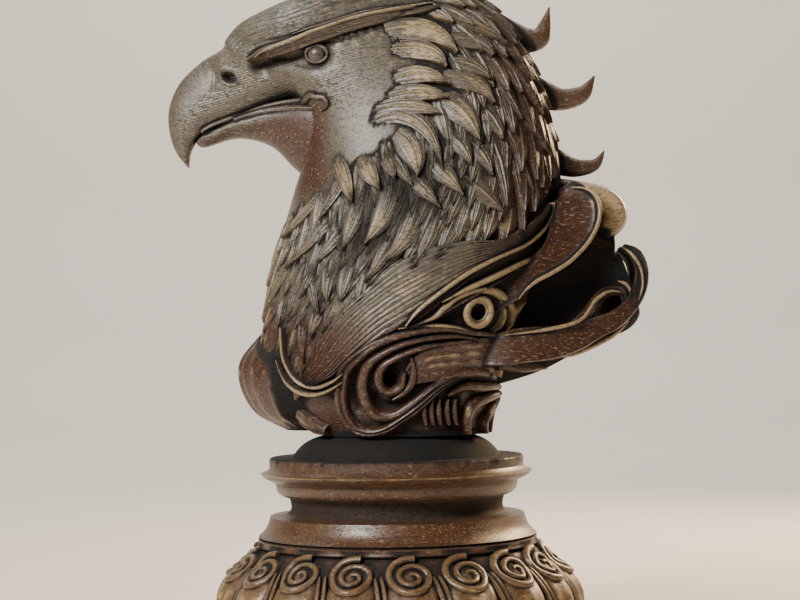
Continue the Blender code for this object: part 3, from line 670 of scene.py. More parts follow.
def feather_shapes(stations, turns, width, lift, across=13):
    """Many pointed feathers at once, each a closed shape along its own path on the body.

    Widest a little above its middle, each comes to a point; its root is sunk, its tip lifted, and
    a ridge runs down its middle between shallow grooves.
    """
    u = np.linspace(0, 1, stations.shape[1])
    shape = (0.86 + 0.14 * ease(0, 0.4, u)) * (1 - np.clip((u - 0.4) / 0.6, 0, 1) ** 1.8)
    half = width[:, None] / 2 * np.maximum(shape, 0.03)
    v = np.linspace(-1, 1, across)
    rise = -1.2 + (lift[:, None] + 1.2) * u**0.85
    camber = 0.1 * width[:, None, None] * (1 - np.abs(v) ** 2.4)
    quill = 0.45 * np.exp(-((v / 0.14) ** 2)) * (1 - u[:, None]) ** 0.3
    barbs = 0.16 * np.cos(v * math.pi * 4)
    height = rise[..., None] + camber + quill + barbs
    rings = laid(stations, turns, half, v, height, 1.2)
    return [rings[k] for k in range(len(stations))]


def walked(station, turn, lean, length, rings):
    """Paths of many feathers that walk down the body from their roots, turned aside by lean."""
    s, t = station, turn
    path_s, path_t = [s], [t]
    for step in range(rings - 1):
        _, _, down, round_ = on_surface(s, t)
        aim = lean + 0.1 * step / (rings - 1)
        move = unit(down) * np.cos(aim)[:, None] + unit(round_) * np.sin(aim)[:, None]
        ds, dt = step_on_surface(s, t, move * (length / (rings - 1))[:, None])
        s, t = s + ds, t + dt
        path_s.append(s)
        path_t.append(t)
    return np.stack(path_s, -1), np.stack(path_t, -1)


def under_plumage(random):
    """Staggered rows of low feathers on one side, from behind the cheek down to the sweeping band."""
    rows, columns, spacing = 13, 14, 12.46
    row, column = (a.ravel() for a in np.meshgrid(np.arange(rows), np.arange(columns), indexing="ij"))
    degrees = 8 + (column + 0.5 * (row % 2) + random.uniform(-0.12, 0.12, row.size)) * spacing
    start = 11.4 + 1.35 * ease(40, 66, degrees) - 0.35 * ease(105, 150, degrees)
    last, end = np.array(PLUMAGE_END).T
    room = np.interp(degrees, last, end)
    station = start + (row + random.uniform(-0.15, 0.15, row.size)) * (room - 0.9 - start) / (rows - 1)
    side = ease(25, 70, degrees) * (1 - ease(148, 172, degrees))
    lean = np.radians(28) * ease(12.3, 14.0, station) * side + random.uniform(-0.07, 0.07, row.size)
    size = (0.66 + 0.34 * ease(11.6, 14.2, station)) * random.uniform(0.92, 1.1, row.size)
    shown = (degrees > 42) & (degrees < 150) & (station > 12.2)
    lift = np.where(shown | (degrees > 166), 1.5, 3.0)
    stations, turns = walked(station, np.radians(degrees), lean, 31 * size, 14)
    return feather_shapes(stations, turns, 12.5 * size, lift, 9)


def drawn_plumage():
    """The feathers that the photograph shows one by one."""
    found = seen_at([feather[:3] for feather in FEATHERS])
    width = np.array([feather[3] for feather in FEATHERS]) * VIEW_SCALE * 1.08
    u = np.linspace(0, 1, 22)
    weights = np.stack([(1 - u) * (1 - 2 * u), 4 * u * (1 - u), u * (2 * u - 1)])
    paths = np.einsum("kpc,pu->kuc", found, weights)
    order = np.linspace(0, 1, len(FEATHERS))
    return feather_shapes(paths[..., 0], np.radians(paths[..., 1]), width, 3.7 + 0.5 * np.sin(order * 40))


# Head


def distance_to(points, curve):
    """Distance from each point to the nearest of a curve's points."""
    nearest = np.full(points.shape[:-1], np.inf)
    for spot in curve:
        nearest = np.minimum(nearest, ((points - spot) ** 2).sum(-1))
    return np.sqrt(nearest)


def body_curve(points, count):
    """The smooth curve on the plain head and neck through a few (station, degrees) points."""
    path = spread(points, count)
    return section_point(BODY, path[:, 0], np.radians(path[:, 1]))


def sunk(points, picture, count, depth, radius):
    """A trough of this depth along a curve of the picture, or a pit where it is one point twice."""
    distance = distance_to(points, body_curve(seen_at(picture), count))
    return -depth * np.exp(-((distance / radius) ** 2))


def face_relief(points, station):
    """The modelling of beak, cere, eye socket and cheek, as a height over the plain head."""
    p = np.stack([points[..., 0], -np.abs(points[..., 1]), points[..., 2]], -1)
    eye = body_curve(seen_at([EYE, EYE]), 2)[0]
    nostril = body_curve(seen_at([NOSTRIL, NOSTRIL]), 2)[0]
    height = sunk(p, EYE_SOCKET, 24, 5.0, 5.5)
    height += sunk(p, BROW_SHADE, 30, 2.6, 2.2)
    height += sunk(p, CERE_EDGE, 16, 0.7, 0.9)
    height -= sunk(p, CERE_BUMP, 12, 1.7, 5.0)
    height += sunk(p, MOUTH_SHADE, 30, 1.6, 1.5)
    aside = p - nostril
    slant = np.array([0.86, 0.0, -0.5])
    lengthwise = (aside * slant).sum(-1)
    across = np.sqrt(np.maximum((aside**2).sum(-1) - lengthwise**2, 0))
    oval = np.sqrt((lengthwise / 4.0) ** 2 + (across / 2.7) ** 2)
    height -= 4.5 * (1 - ease(0.5, 1.0, oval))
    height += 0.55 * np.exp(-(((oval - 1.35) / 0.3) ** 2))
    brow = distance_to(p, body_curve(seen_at(BROW), 60))
    crown = (station > 5.5) & (station < 13.5) & (p[..., 2] > 190)
    above = ease(2.0, 6.0, brow) * (1 - ease(34, 46, brow)) * crown
    height += 0.4 * above * np.sin(brow * 2 * math.pi / 2.9 + 1.2 * np.sin(p[..., 0] / 9.0))
    cheek = np.linalg.norm(p - eye, axis=-1)
    rays = np.exp(-(((cheek - 22) / 14.0) ** 2)) * (p[..., 0] > eye[0] + 4)
    height += 0.24 * rays * np.sin((p[..., 2] - 0.2 * p[..., 0]) * 2 * math.pi / 3.1)
    low = p[..., 2] < 80
    for picture, depth, radius in PITS:
        height += sunk(p, picture, 14, depth, radius) * low
    return height


def head_parts():
    rows = np.concatenate([np.linspace(0, 12.5, 195), np.linspace(12.6, 20, 125)])
    body = loft(BODY, rows, 256, face_relief)
    jaw = loft(JAW, np.linspace(0, 5, 60), 72)
    brow = band(
        seen_at(BROW),
        (1.2, 2.6, 3.1, 3.2, 3.0, 2.8, 2.6, 2.2, 1.2),
        lambda u, v: 0.3 + (4.8 - 2.6 * u) * ease(-1.1, 0.3, v) * (1 - 0.85 * ease(0.3, 1.15, v)),
        90,
        21,
    )
    brow_line = band(seen_at(BROW_LINE), (0.3, 0.9, 1.0, 0.8, 0.3), roll(0.2, 0.9), 60, 9)
    lip = band(seen_at(LIP), (0.5, 0.9, 1.2, 1.4, 1.5, 1.5, 1.4, 1.2, 0.9, 0.4), roll(0.2, 1.5), 90, 13)
    lower_lips = [
        band(points, (0.4, 1.2, 1.4, 1.3, 0.6), roll(0.2, 1.2), 60, 11, table=JAW)
        for points in (
            [(1.6, 30), (2.4, 32), (3.2, 38), (3.9, 44), (4.4, 46)],
            [(2.0, 52), (2.7, 55), (3.3, 60), (3.9, 64), (4.3, 66)],
        )
    ]
    return body, jaw, [brow, brow_line, lip] + lower_lips


def eye_parts():
    place = seen_at([EYE])
    centre, normal, _, _ = (a[0] for a in on_surface(place[:, 0], np.radians(place[:, 1])))
    centre = centre - normal * 4.6
    theta = np.linspace(0.02, math.pi - 0.02, 24)[:, None]
    phi = np.linspace(0, 2 * math.pi, 32, endpoint=False)[None, :]
    round_it = np.sin(theta)
    ball = np.stack([np.cos(theta) + 0 * phi, round_it * np.cos(phi), round_it * np.sin(phi)], -1)
    eyeball = centre + 5.0 * ball
    right = unit(np.array([1.0, 0.0, 0.0]) - normal * normal[0])
    up = np.cross(right, normal)
    up = up * np.sign(up[2])
    lids = []
    for low, high, reach, thick in ((-10, 190, 5.3, 1.2), (170, 365, 5.3, 0.8)):
        a = np.radians(np.linspace(low, high, 30))
        oval = right * np.cos(a)[:, None] + up * (0.74 * np.sin(a))[:, None]
        path = centre + normal * 2.4 + reach * oval
        forward = unit(np.gradient(path, axis=0))
        side = unit(np.cross(forward, normal))
        b = np.arange(10) * 2 * math.pi / 10
        size = thick * np.sqrt(np.maximum(1 - np.linspace(-1, 1, 30) ** 4, 0.02))
        ring = side[:, None] * np.cos(b)[None, :, None] + normal * np.sin(b)[None, :, None]
        lids.append(path[:, None] + ring * size[:, None, None])
    return [eyeball] + lids


# Bands and scrolls of the bust

OUTER_RIDGE_WIDTHS = (
    0.9, 1.4, 1.6, 1.7, 1.9, 2.2, 2.8, 3.0, 3.0, 3.0, 2.8, 2.5, 2.2, 2.0, 1.9, 1.8, 1.4, 0.7
)
SECOND_RIDGE_WIDTHS = (0.7, 1.3, 1.4, 1.5, 1.7, 2.2, 2.6, 2.7, 2.7, 2.5, 2.2, 1.8, 1.4, 0.7)


def grooved_height(u, v):
    """A swelling bundle of fine strands, parted by grooves."""
    return 3.3 + 1.0 * (1 - v**2) + 0.55 * np.abs(np.cos(v * math.pi * 5.5 + 0.6 * np.sin(u * 9)))


def outer_ridge_height(u, v):
    """A rounded ridge that parts into two on its way round the scroll."""
    return 2.4 + 2.2 * np.sqrt(1 - 0.98 * v**2) - 1.5 * np.exp(-((v / 0.22) ** 2)) * ease(0.25, 0.38, u)


def grooved_band():
    """The bundle of fine strands that sweeps from the breast up behind the neck."""
    path = [
        (17.1, 140), (16.85, 128), (16.48, 119), (16.16, 110), (15.86, 96), (15.7, 80), (15.66, 66),
        (15.76, 50), (15.5, 36), (15.1, 24)
    ]
    return band(path, (3, 6.5, 9, 10.5, 11, 9.5, 7, 4, 2.8, 1.5), grooved_height, 110, 77)


def plate_height(u, v):
    """A flat band with slow ripples."""
    return 2.6 + 0.2 * np.cos(v * 14 + u * 5)


def veined_height(u, v):
    """A leaf with a groove down its middle."""
    return 3.0 + 1.8 * (1 - v**2) - 0.8 * np.exp(-((v / 0.2) ** 2)) + 0 * u


def scroll_bands():
    """The smooth bands below it, the scroll and the small curls, on one side."""
    leaf = [(16.1, 156), (16.9, 166), (17.7, 166), (18.6, 158), (19.0, 146)]
    shapes = [
        band(seen_at(CHANNEL), (1, 2.2, 3.5, 5, 5, 4, 3, 1), lambda u, v: 1.6 + 3.2 * v**2, 80, 17),
        band(seen_at(PLATE), (4, 8.5, 9, 9, 8), plate_height, 60, 25),
        band(leaf, (2, 6, 7, 6, 2), veined_height, 60, 21),
    ]
    shapes += drawn_bands(
        (OUTER_RIDGE, OUTER_RIDGE_WIDTHS, outer_ridge_height),
        (SECOND_RIDGE, SECOND_RIDGE_WIDTHS, roll(1.6, 2.6)),
        (THIRD_RIDGE, (0.6, 1.2, 1.4, 1.5, 1.9, 2.1, 2.0, 1.9, 1.7, 0.8), roll(2.4, 2.2)),
        (OUTER_RIM, (0.6, 1.6, 1.9, 1.6, 0.7), roll(2.0, 1.8)),
        (FOLD_ONE, (0.8, 1.8, 2.6, 2.8, 2.0), roll(1.6, 2.2)),
        (FOLD_TWO, (0.8, 2.2, 2.6, 1.6), roll(1.2, 2.0)),
        (CURL_ONE, (1.6, 2.4, 2.8, 2.6, 1.4), roll(1.8, 2.8)),
        (CURL_TWO, (1.6, 2.2, 2.4, 1.4), roll(1.8, 2.8)),
        (CURL_THREE, (1.8, 2.2, 1.2), roll(1.4, 2.4)),
    )
    for left in FRINGE_LEFTS:
        fringe = [(left, FRINGE_TOP), (left - 1, FRINGE_TOP + 12), (left + 1, FRINGE_TOP + 25)]
        shapes.append(band(seen_at(fringe), (0.5, 1.4, 0.8), roll(1.4, 1.8), 24, 9))
    return shapes


def drawn_bands(*lines):
    """Bands along lines of the picture, each with its widths and its height across."""
    return [
        band(seen_at(points), widths, profile, 9 * len(points), 11)
        for points, widths, profile in lines
    ]


def highlit_lines():
    """The fine rims and beads between the bands, on one side, painted pale all along as wear and
    highlight.
    """
    ring = seen_at([RING])[0]
    return drawn_bands(
        (LINE_ONE, (0.5, 1.0, 1.1, 1.2, 1.2, 1.2, 1.2, 1.0, 0.6), roll(4.0, 1.6)),
        (LINE_TWO, (0.5, 1.2, 1.4, 1.4, 1.4, 1.2, 0.8), roll(3.6, 1.7)),
        (CRESCENT, (0.6, 1.3, 2.0, 2.2, 2.2, 2.2, 2.2, 2.0, 1.6, 0.7), roll(2.2, 2.3)),
        (RING_LIP, (0.4, 0.9, 1.0, 0.5), roll(2.4, 1.2)),
        (RING_LEAF, (0.6, 2.0, 1.6, 0.5), roll(2.4, 1.8)),
        (TOP_LINE, (0.4, 1.0, 1.1, 1.0, 0.4), roll(2.8, 1.4)),
        (FRONT_LINE, (0.5, 0.9, 1.0, 1.1, 1.1, 1.0, 0.9, 0.5), roll(3.2, 2.0)),
        (FRONT_LINE_TWO, (0.5, 0.9, 1.1, 1.2, 1.2, 1.0, 0.5), roll(3.2, 2.0)),
        (FRONT_PATCH, (0.6, 2.2, 2.7, 2.2, 0.8), roll(3.0, 0.8)),
        (SMALL_LEAF, (0.6, 2.0, 0.6), roll(3.0, 1.8)),
        (BROW_CREST, (0.3, 0.8, 0.9, 0.9, 0.8, 0.8, 0.7, 0.3), roll(3.9, 0.9)),
    ) + [
        ring_bead(ring[0], ring[1], 6.6, 1.7, 2.6),
        ring_bead(ring[0], ring[1], 4.9, 0.8, 2.2),
    ]


def ring_bead(station, degrees, radius, thick, proud):
    """A round bead lying on the body around a hole."""
    places = on_surface(np.array([station]), np.radians([degrees]))
    place, normal, down, _ = (a[0] for a in places)
    first = unit(down)
    second = np.cross(normal, first)
    a = np.linspace(0, 2 * math.pi, 61)
    b = np.arange(16) * 2 * math.pi / 16
    spoke = first * np.cos(a)[:, None] + second * np.sin(a)[:, None]
    bead = spoke[:, None] * np.cos(b)[None, :, None] + normal * np.sin(b)[None, :, None]
    return place + normal * proud + spoke[:, None] * radius + bead * thick


def raised_rims(depth, width):
    """What is cut from a leaf's face: a shallow dish with a raised rim along each side."""
    return lambda u, v: depth * (1 - v**4) - 0.35 * depth * np.exp(-(((np.abs(v) - 0.9) / width) ** 2))


def tail_leaves():
    """The swept-up leaves behind the neck, on one side."""
    broad = [
        (46, -38, 62), (56, -37, 70), (66, -34, 78), (76, -31, 85), (83, -28, 93), (87, -25, 101),
        (88.5, -23, 109), (88, -20, 116), (85, -17, 121)
    ]
    curl = [
        (28, -27, 42), (48, -34, 41), (62, -34, 43), (76, -31, 44), (88, -28, 47), (98, -25, 51),
        (108, -22, 55), (116, -19, 62), (121, -16, 70), (122.5, -14, 79), (120, -12, 87), (114, -10, 91)
    ]
    inner = [
        (84, -27, 50), (93, -25, 56.5), (98, -23, 62.5), (102, -21, 67), (107, -19, 69), (112, -18, 68),
        (113.5, -18, 62)
    ]
    tab = behind(TAIL_TAB, (-31, -28, -24))
    curl_widths = (6, 8, 8.5, 8, 7, 5.5, 4.5, 3.6, 3.2, 3, 2.8, 1.5)
    return [
        blade(broad, (4, 6.5, 6, 6.5, 8.7, 11.4, 11.6, 9, 4), 5.0, raised_rims(2.2, 0.07), 70, 25),
        blade(curl, curl_widths, 6.0, raised_rims(2.0, 0.09), 96, 21),
        blade(inner, (2, 2.8, 2.8, 2.6, 2.4, 2.2, 1), 4.0, lambda u, v: 1.4 * (1 - v**2), 44, 13),
        blade(tab, (5, 4, 2.5), 4.5, lambda u, v: 0.6 * (1 - v**2), 24, 11),
    ]


def tail_rims():
    """The rounded rims of the tail's leaves, on one side."""
    shapes = []
    for points, near, far, radius in (
        (BROAD_RIM, -41.5, -22.0, 1.0),
        (INNER_RIM, -40.5, -22.5, 0.9),
        (CURL_LIP, -21.5, -20.0, 0.8),
        (CURL_RIM, -15.5, -23.0, 0.9),
        (CURL_KEEL, -31.0, -21.0, 1.5),
    ):
        line = behind(points, np.linspace(near, far, len(points)))
        shapes.append(tube(line, [0.3 * radius] + [radius] * 4 + [0.3 * radius], 12 * len(points), 10))
    return shapes


def tail_middle():
    """The tail's rolled lobe, and the web that closes the pocket between its leaves."""
    lobe = [
        (72, 0, 117), (84, 0, 118.6), (96, 0, 117), (103, 0, 115.3), (107.8, 0, 112.5), (110, 0, 109),
        (110, 0, 105), (107.5, 0, 101), (104.5, 0, 97.5)
    ]
    lobe_widths = (8, 7, 6.5, 6.8, 6.8, 6.6, 6.3, 5.5, 3.5)
    web = [(40, 0, 52), (60, 0, 60), (80, 0, 70), (98, 0, 73), (110, 0, 72), (117, 0, 74)]
    return [
        blade(lobe, lobe_widths, 15.0, lambda u, v: 0.8 * (1 - v**2), 60, 21),
        blade(web, (30, 32, 32, 29, 24, 15), 13.0, lambda u, v: 0.3 * np.cos(v * 20)),
    ]


def nape_locks():
    """The flicked-up locks on the back of head and neck."""
    crown = [(36, 0, 214), (49, 0, 222), (57, 0, 229)]
    upper = [(52, 0, 203), (62, 0, 198), (70, 0, 196), (77, 0, 199), (81, 0, 213)]
    middle = [(68, 0, 173), (78, 0, 168), (87, 0, 166), (97, 0, 169), (103, 0, 178)]
    lower = [(72, 0, 140), (82, 0, 135), (92, 0, 131.5), (102, 0, 133), (107, 0, 140)]
    shapes = []
    for points, radii in (
        (crown, (5.5, 4.0, 0.4)),
        (upper, (8.5, 7.8, 6.6, 5.2, 0.4)),
        (middle, (8.0, 7.2, 5.8, 4.4, 0.4)),
        (lower, (8.0, 6.8, 5.0, 3.2, 0.4)),
    ):
        shapes.append(tube(points, radii, 56, 32, 0.8, 0.12))
    beside = tube([(28, -10, 212), (44, -13, 219), (53, -13, 225)], (5, 4, 0.4), 36, 24, 0.8, 0.28)
    return shapes + both_sides([beside])


def breast_leaf():
    """The leaf folded round the foot of the breast: an arc in plan, widest at half its height."""
    count, across = 60, 41
    middle = [
        (-60, 0, 56), (-68, 0, 48), (-75, 0, 39), (-76.5, 0, 31), (-74, 0, 21), (-67, 0, 11), (-52, 0, 3)
    ]
    line = spread(middle, count)
    half = run((12, 24, 28, 25, 12), count)
    u = np.linspace(0, 1, count)[:, None]
    v = np.linspace(-1, 1, across)
    vein = 0.7 * np.cos(v * math.pi * 6) * u**0.5 + 1.2 * np.exp(-((v / 0.08) ** 2))
    wrap = np.stack([v**2 * half[:, None] * 0.62 - vein, half[:, None] * v, 0 * half[:, None] * v], -1)
    outer = line[:, None] + wrap
    return [closed_ring(outer, outer + np.array([16.0, 0.0, 0.0]))]


# Plinth


PLINTH_HEIGHT = FOOT_HEIGHT + BELL_HEIGHT + OGEE_HEIGHT + COVE_HEIGHT + COLLAR_HEIGHT + NECK_HEIGHT


def arc(start, end, bulge, steps):
    """Points from start to end in (radius, z), bowed sideways by bulge at the middle."""
    start, end = np.array(start, float), np.array(end, float)
    f = np.linspace(0, 1, steps + 1)[1:]
    run_ = end - start
    side = np.array([-run_[1], run_[0]]) / np.hypot(*run_)
    return [tuple(start + run_ * t + side * bulge * math.sin(math.pi * t)) for t in f]


def bell_radius(z):
    """The carved bell swells from its top radius to its bottom one, quickly at first."""
    f = np.clip((FOOT_HEIGHT + BELL_HEIGHT - z) / BELL_HEIGHT, 0, 1)
    return BELL_TOP_RADIUS + (BELL_BOTTOM_RADIUS - BELL_TOP_RADIUS) * np.sin(f * math.pi / 2)


def plinth_profile():
    """The turned outline from the seat down the outer side to the underside, in (radius, z)."""
    neck = PLINTH_HEIGHT - NECK_HEIGHT
    collar = neck - COLLAR_HEIGHT
    cove = collar - COVE_HEIGHT
    ogee = cove - OGEE_HEIGHT
    bead = neck - 7.5
    band_top = ogee + 5.5
    line = [(0.0, PLINTH_HEIGHT), (SEAT_RADIUS, PLINTH_HEIGHT)]
    line += arc(line[-1], (NECK_FOOT_RADIUS, neck), 2.0, 14)
    line += [(COLLAR_RADIUS - 0.8, neck), (COLLAR_RADIUS, neck - 0.8), (COLLAR_RADIUS, neck - 5.0)]
    line += arc(line[-1], (COLLAR_RADIUS + BEAD_DEPTH, bead), -0.7, 4)
    line += arc(line[-1], (COLLAR_RADIUS, bead - 3.5), 0.5, 5)
    line += [(COLLAR_RADIUS - 3.0, bead - 5.0), (COLLAR_RADIUS - 3.0, bead - 6.0)]
    line += [(COLLAR_RADIUS - 3.7, collar + 2.5)]
    line += arc(line[-1], (COVE_RADIUS + 1.0, collar), 1.0, 5)
    line += arc(line[-1], (OGEE_TOP_RADIUS - 3.0, cove), -4.8, 16)
    line += [(OGEE_TOP_RADIUS - 0.4, cove - 0.3), (OGEE_TOP_RADIUS, cove - 1.5)]
    line += arc(line[-1], (BELL_TOP_RADIUS, band_top), -1.0, 8)
    in_groove = BELL_TOP_RADIUS - GROOVE_DEPTH
    line += [(in_groove, band_top - 0.3), (in_groove, band_top - 1.0)]
    line += [(BELL_TOP_RADIUS + 0.3, band_top - 1.4)]
    line += arc(line[-1], (BELL_TOP_RADIUS + 0.6, ogee + 1.0), -0.5, 4)
    line += [(in_groove, ogee + 0.8), (in_groove, ogee)]
    for step in range(1, 25):
        z = ogee - BELL_HEIGHT * step / 24
        line.append((float(bell_radius(np.array(z))), z))
    above_foot = BELL_BOTTOM_RADIUS - 2 * GROOVE_DEPTH
    line += [(above_foot, FOOT_HEIGHT - 0.6), (above_foot, FOOT_HEIGHT - 1.5)]
    line += arc(line[-1], (FOOT_RADIUS - 1.0, 0.0), -3.5, 14)
    return np.array(line)


def turned_body():
    line = plinth_profile()
    line[:, 1] -= PLINTH_HEIGHT
    angle = np.arange(256) * 2 * math.pi / 256
    radius = np.maximum(line[:, 0], 0.05)[:, None]
    height = line[:, 1][:, None] + 0 * angle
    return np.stack([radius * np.sin(angle), -radius * np.cos(angle), height], -1)


def on_bell(across, z, proud):
    """A point at an arc length across the bell, at height z and this far proud of it."""
    radius = bell_radius(z) + proud
    angle = across / bell_radius(z)
    return np.stack([radius * np.sin(angle), -radius * np.cos(angle), z - PLINTH_HEIGHT + 0 * angle], -1)


def leaf_shape(z):
    """How far down its leaf the height z is, from 0 to 1, and the leaf's half width there."""
    drop = np.clip((FOOT_HEIGHT + BELL_HEIGHT - LEAF_SETBACK - z) / LEAF_LENGTH, 0, 1)
    return drop, SCROLL_RADIUS * (0.62 + 0.42 * np.sin(math.pi * drop))


def leaf_swell(across, z):
    """The leaf swells as a half wave down its length and falls to a quarter of that at its edges."""
    drop, half = leaf_shape(z)
    v = np.clip(across / half, -1, 1)
    return (1.0 + LEAF_SWELL * np.sin(math.pi * drop * 0.93)) * (1 - 0.75 * v**2)


def bead_path(across, z, size, lift=0.0, sides=10):
    """A rounded bead along a path on the bell, its lower half sunk."""
    path = on_bell(across, z, leaf_swell(across, z) + lift)
    forward = unit(np.gradient(path, axis=0))
    out = unit(path * np.array([1, 1, 0]))
    side = unit(np.cross(out, forward))
    b = np.arange(sides) * 2 * math.pi / sides
    up = np.where(np.sin(b) < 0, 2.2, 1.0) * np.sin(b)
    ring = side[:, None] * np.cos(b)[None, :, None] + out[:, None] * up[None, :, None]
    return path[:, None] + ring * size[:, None, None]


def scroll_leaf():
    """One scroll of the ring at angle 0: a coiled bead over a swelling leaf, with ribs beside it."""
    bell_top = FOOT_HEIGHT + BELL_HEIGHT
    wind = np.linspace(0, 1, 80)
    angle = math.radians(80) + wind * math.radians(760)
    shrink = 1 - 0.86 * wind
    across = SCROLL_RADIUS * shrink * np.cos(angle)
    rise = bell_top + SCROLL_RADIUS * SCROLL_SQUASH * (np.sin(angle) * shrink - 1)
    coil = bead_path(across, rise, 2.0 * (1 - 0.4 * wind), 0.3)
    shapes = [coil]
    z = bell_top - LEAF_SETBACK - np.linspace(0, 1, 22) * LEAF_LENGTH
    _, half = leaf_shape(z)
    across = half[:, None] * np.linspace(-1, 1, 17)
    height = np.broadcast_to(z[:, None], across.shape)
    crease = 0.5 * np.cos(across / half[:, None] * math.pi * 2.5)
    top = on_bell(across, height, leaf_swell(across, height) + crease)
    shapes.append(closed_ring(top, on_bell(across, height, -3.0)))
    down = np.linspace(0, 1, 30)
    for start, finish in ((9.5, 15.0), (12.5, 18.2)):
        across = start + (finish - start) * down + 1.6 * np.sin(down * math.pi)
        rise = bell_top - 7.0 - down * 24
        thick = 1.3 * np.sqrt(np.maximum(1 - (2 * down - 1) ** 4, 0.02))
        shapes.append(bead_path(across, rise, thick, 0.8, 8))
    return shapes


def scroll_ring():
    shapes = []
    for index in range(SCROLL_COUNT):
        turn = SCROLL_TURN + index * 2 * math.pi / SCROLL_COUNT
        c, s = math.cos(turn), math.sin(turn)
        spin = np.array([(c, s, 0), (-s, c, 0), (0, 0, 1)])
        shapes += [rings @ spin for rings in scroll_leaf()]
    return shapes


# Camera, light and stage


def make_camera():
    """The photograph's view: level with the bust's scrolls, looking up a little, rolled by a degree."""
    data = bpy.data.cameras.new("camera")
    data.sensor_width = 36
    data.lens = data.sensor_width / 2 * VIEW_DISTANCE / (PICTURE_MIDDLE[0] * VIEW_SCALE)
    data.clip_start = 0.01
    camera = bpy.data.objects.new("camera", data)
    bpy.context.scene.collection.objects.link(camera)
    camera.location = (VIEW_SIDE * UNIT, -VIEW_DISTANCE * UNIT, SEAT + VIEW_HEIGHT * UNIT)
    tilt = math.atan(VIEW_RISE * VIEW_SCALE / VIEW_DISTANCE)
    look = Vector((0, math.cos(tilt), math.sin(tilt)))
    camera.rotation_mode = "QUATERNION"
    camera.rotation_quaternion = Quaternion(look, VIEW_ROLL) @ look.to_track_quat("-Z", "Y")
    bpy.context.scene.camera = camera


def softbox(name, place, target, size, power, colour=(1, 1, 1)):
    data = bpy.data.lights.new(name, "AREA")
    data.shape = "RECTANGLE"
    data.size, data.size_y = size
    data.energy = power
    data.color = colour
    light = bpy.data.objects.new(name, data)
    bpy.context.scene.collection.objects.link(light)
    light.location = place
    light.rotation_mode = "QUATERNION"
    light.rotation_quaternion = (Vector(target) - Vector(place)).to_track_quat("-Z", "Y")


def make_stage():
    """A pale floor that curves up into a backdrop."""
    depth = np.array([-2.5, -1.0, 1.2, 1.6, 1.85, 2.0, 2.05, 2.05])
    height = np.array([0.0, 0.0, 0.0, 0.05, 0.2, 0.45, 0.9, 3.2])
    width = 3.5
    points = [(x, y, z) for y, z in zip(depth, height) for x in (-width, width)]
    faces = [(2 * i, 2 * i + 1, 2 * i + 3, 2 * i + 2) for i in range(len(depth) - 1)]
    mesh = bpy.data.meshes.new("floor")
    mesh.from_pydata(points, [], faces)
    mesh.shade_smooth()
    floor = bpy.data.objects.new("floor", mesh)
    bpy.context.scene.collection.objects.link(floor)
    paint = bpy.data.materials.new("pale_floor")
    paint.use_nodes = True
    shader = paint.node_tree.nodes["Principled BSDF"]
    shader.inputs["Base Color"].default_value = (0.72, 0.68, 0.62, 1)
    shader.inputs["Roughness"].default_value = 0.9
    mesh.materials.append(paint)


def make_light():
    """A dim room, a soft key from the left, a warm edge light behind it, and one for the backdrop."""
    world = bpy.data.worlds.new("studio")
    bpy.context.scene.world = world
    world.use_nodes = True
    background = world.node_tree.nodes["Background"]
    background.inputs[0].default_value = (0.80, 0.76, 0.70, 1)
    background.inputs[1].default_value = 0.04
    softbox("key", (-0.62, -0.82, 0.72), (0, 0, 0.20), (0.34, 0.34), 21, (1.0, 0.97, 0.92))
    softbox("rim", (0.60, 0.55, 0.55), (0, 0, 0.24), (0.30, 0.40), 14, (1.0, 0.70, 0.40))
    softbox("backdrop", (0.0, 0.7, 1.9), (0, 2.0, 0.5), (2.4, 0.6), 55, (1.0, 0.96, 0.90))


# Materials

# The darkest colour is the pores' and grain's, and also the painted shade in hollows; the palest brown is
# a painted sheen; the edge colour is wear and painted highlight, and painted glints
CARVED_COLOURS = {
    "Stain And Shade": (0.003, 0.002, 0.0016, 1.0), "Wood": (0.046, 0.0115, 0.0032, 1.0),
    "Sheen Colour": (0.092, 0.077, 0.053, 1.0), "Edge": (0.60, 0.44, 0.23, 1.0)
}
TURNED_COLOURS = {
    "Stain And Shade": (0.004, 0.0024, 0.0018, 1.0), "Wood": (0.056, 0.016, 0.005, 1.0),
    "Sheen Colour": (0.14, 0.072, 0.030, 1.0), "Edge": (0.62, 0.42, 0.17, 1.0)
}
# How deep the knife's lines are cut: the turned plinth has none
CARVED_LINE_DEPTH = 0.24
TURNED_LINE_DEPTH = 0.0
# How much painted sheen some pieces get, against the rest of the bust
SHEEN_SHARE = {
    "brow_and_lips": 0.6, "eyes": 0.7, "scroll_bands": 0.15, "tail_leaves": 0.2, "nape_locks": 0.1,
    "breast_leaf": 0.0, "tail_lobe": 0.05, "tail_rims": 0.2, "highlit_lines": 0.6
}


def fill(tree, item, inputs):
    """Sets a node's inputs from numbers, colours or other nodes' outputs."""
    for key, value in inputs.items():
        if isinstance(value, bpy.types.NodeSocket):
            tree.links.new(value, item.inputs[key])
        else:
            item.inputs[key].default_value = value
    return item


def sum_of(tree, operation, first, second=0.5):
    item = tree.nodes.new("ShaderNodeMath")
    item.operation = operation
    return fill(tree, item, {0: first, 1: second}).outputs[0]


def mixed(tree, factor, first, second):
    item = tree.nodes.new("ShaderNodeMix")
    item.data_type = "RGBA"
    return fill(tree, item, {0: factor, 6: first, 7: second}).outputs[2]


def between(tree, value, low, high, start=0.0, end=1.0):
    item = tree.nodes.new("ShaderNodeMapRange")
    item.interpolation_type = "SMOOTHSTEP"
    return fill(tree, item, {0: value, 1: low, 2: high, 3: start, 4: end}).outputs[0]


def speckle(tree, place, scale, detail=2.0):
    """Noise stretched by its own scale along each axis."""
    stretch = tree.nodes.new("ShaderNodeMapping")
    fill(tree, stretch, {"Vector": place, "Scale": scale})
    noise = tree.nodes.new("ShaderNodeTexNoise")
    fill(tree, noise, {"Vector": stretch.outputs[0], "Scale": 1.0, "Detail": detail})
    return noise.outputs[0]


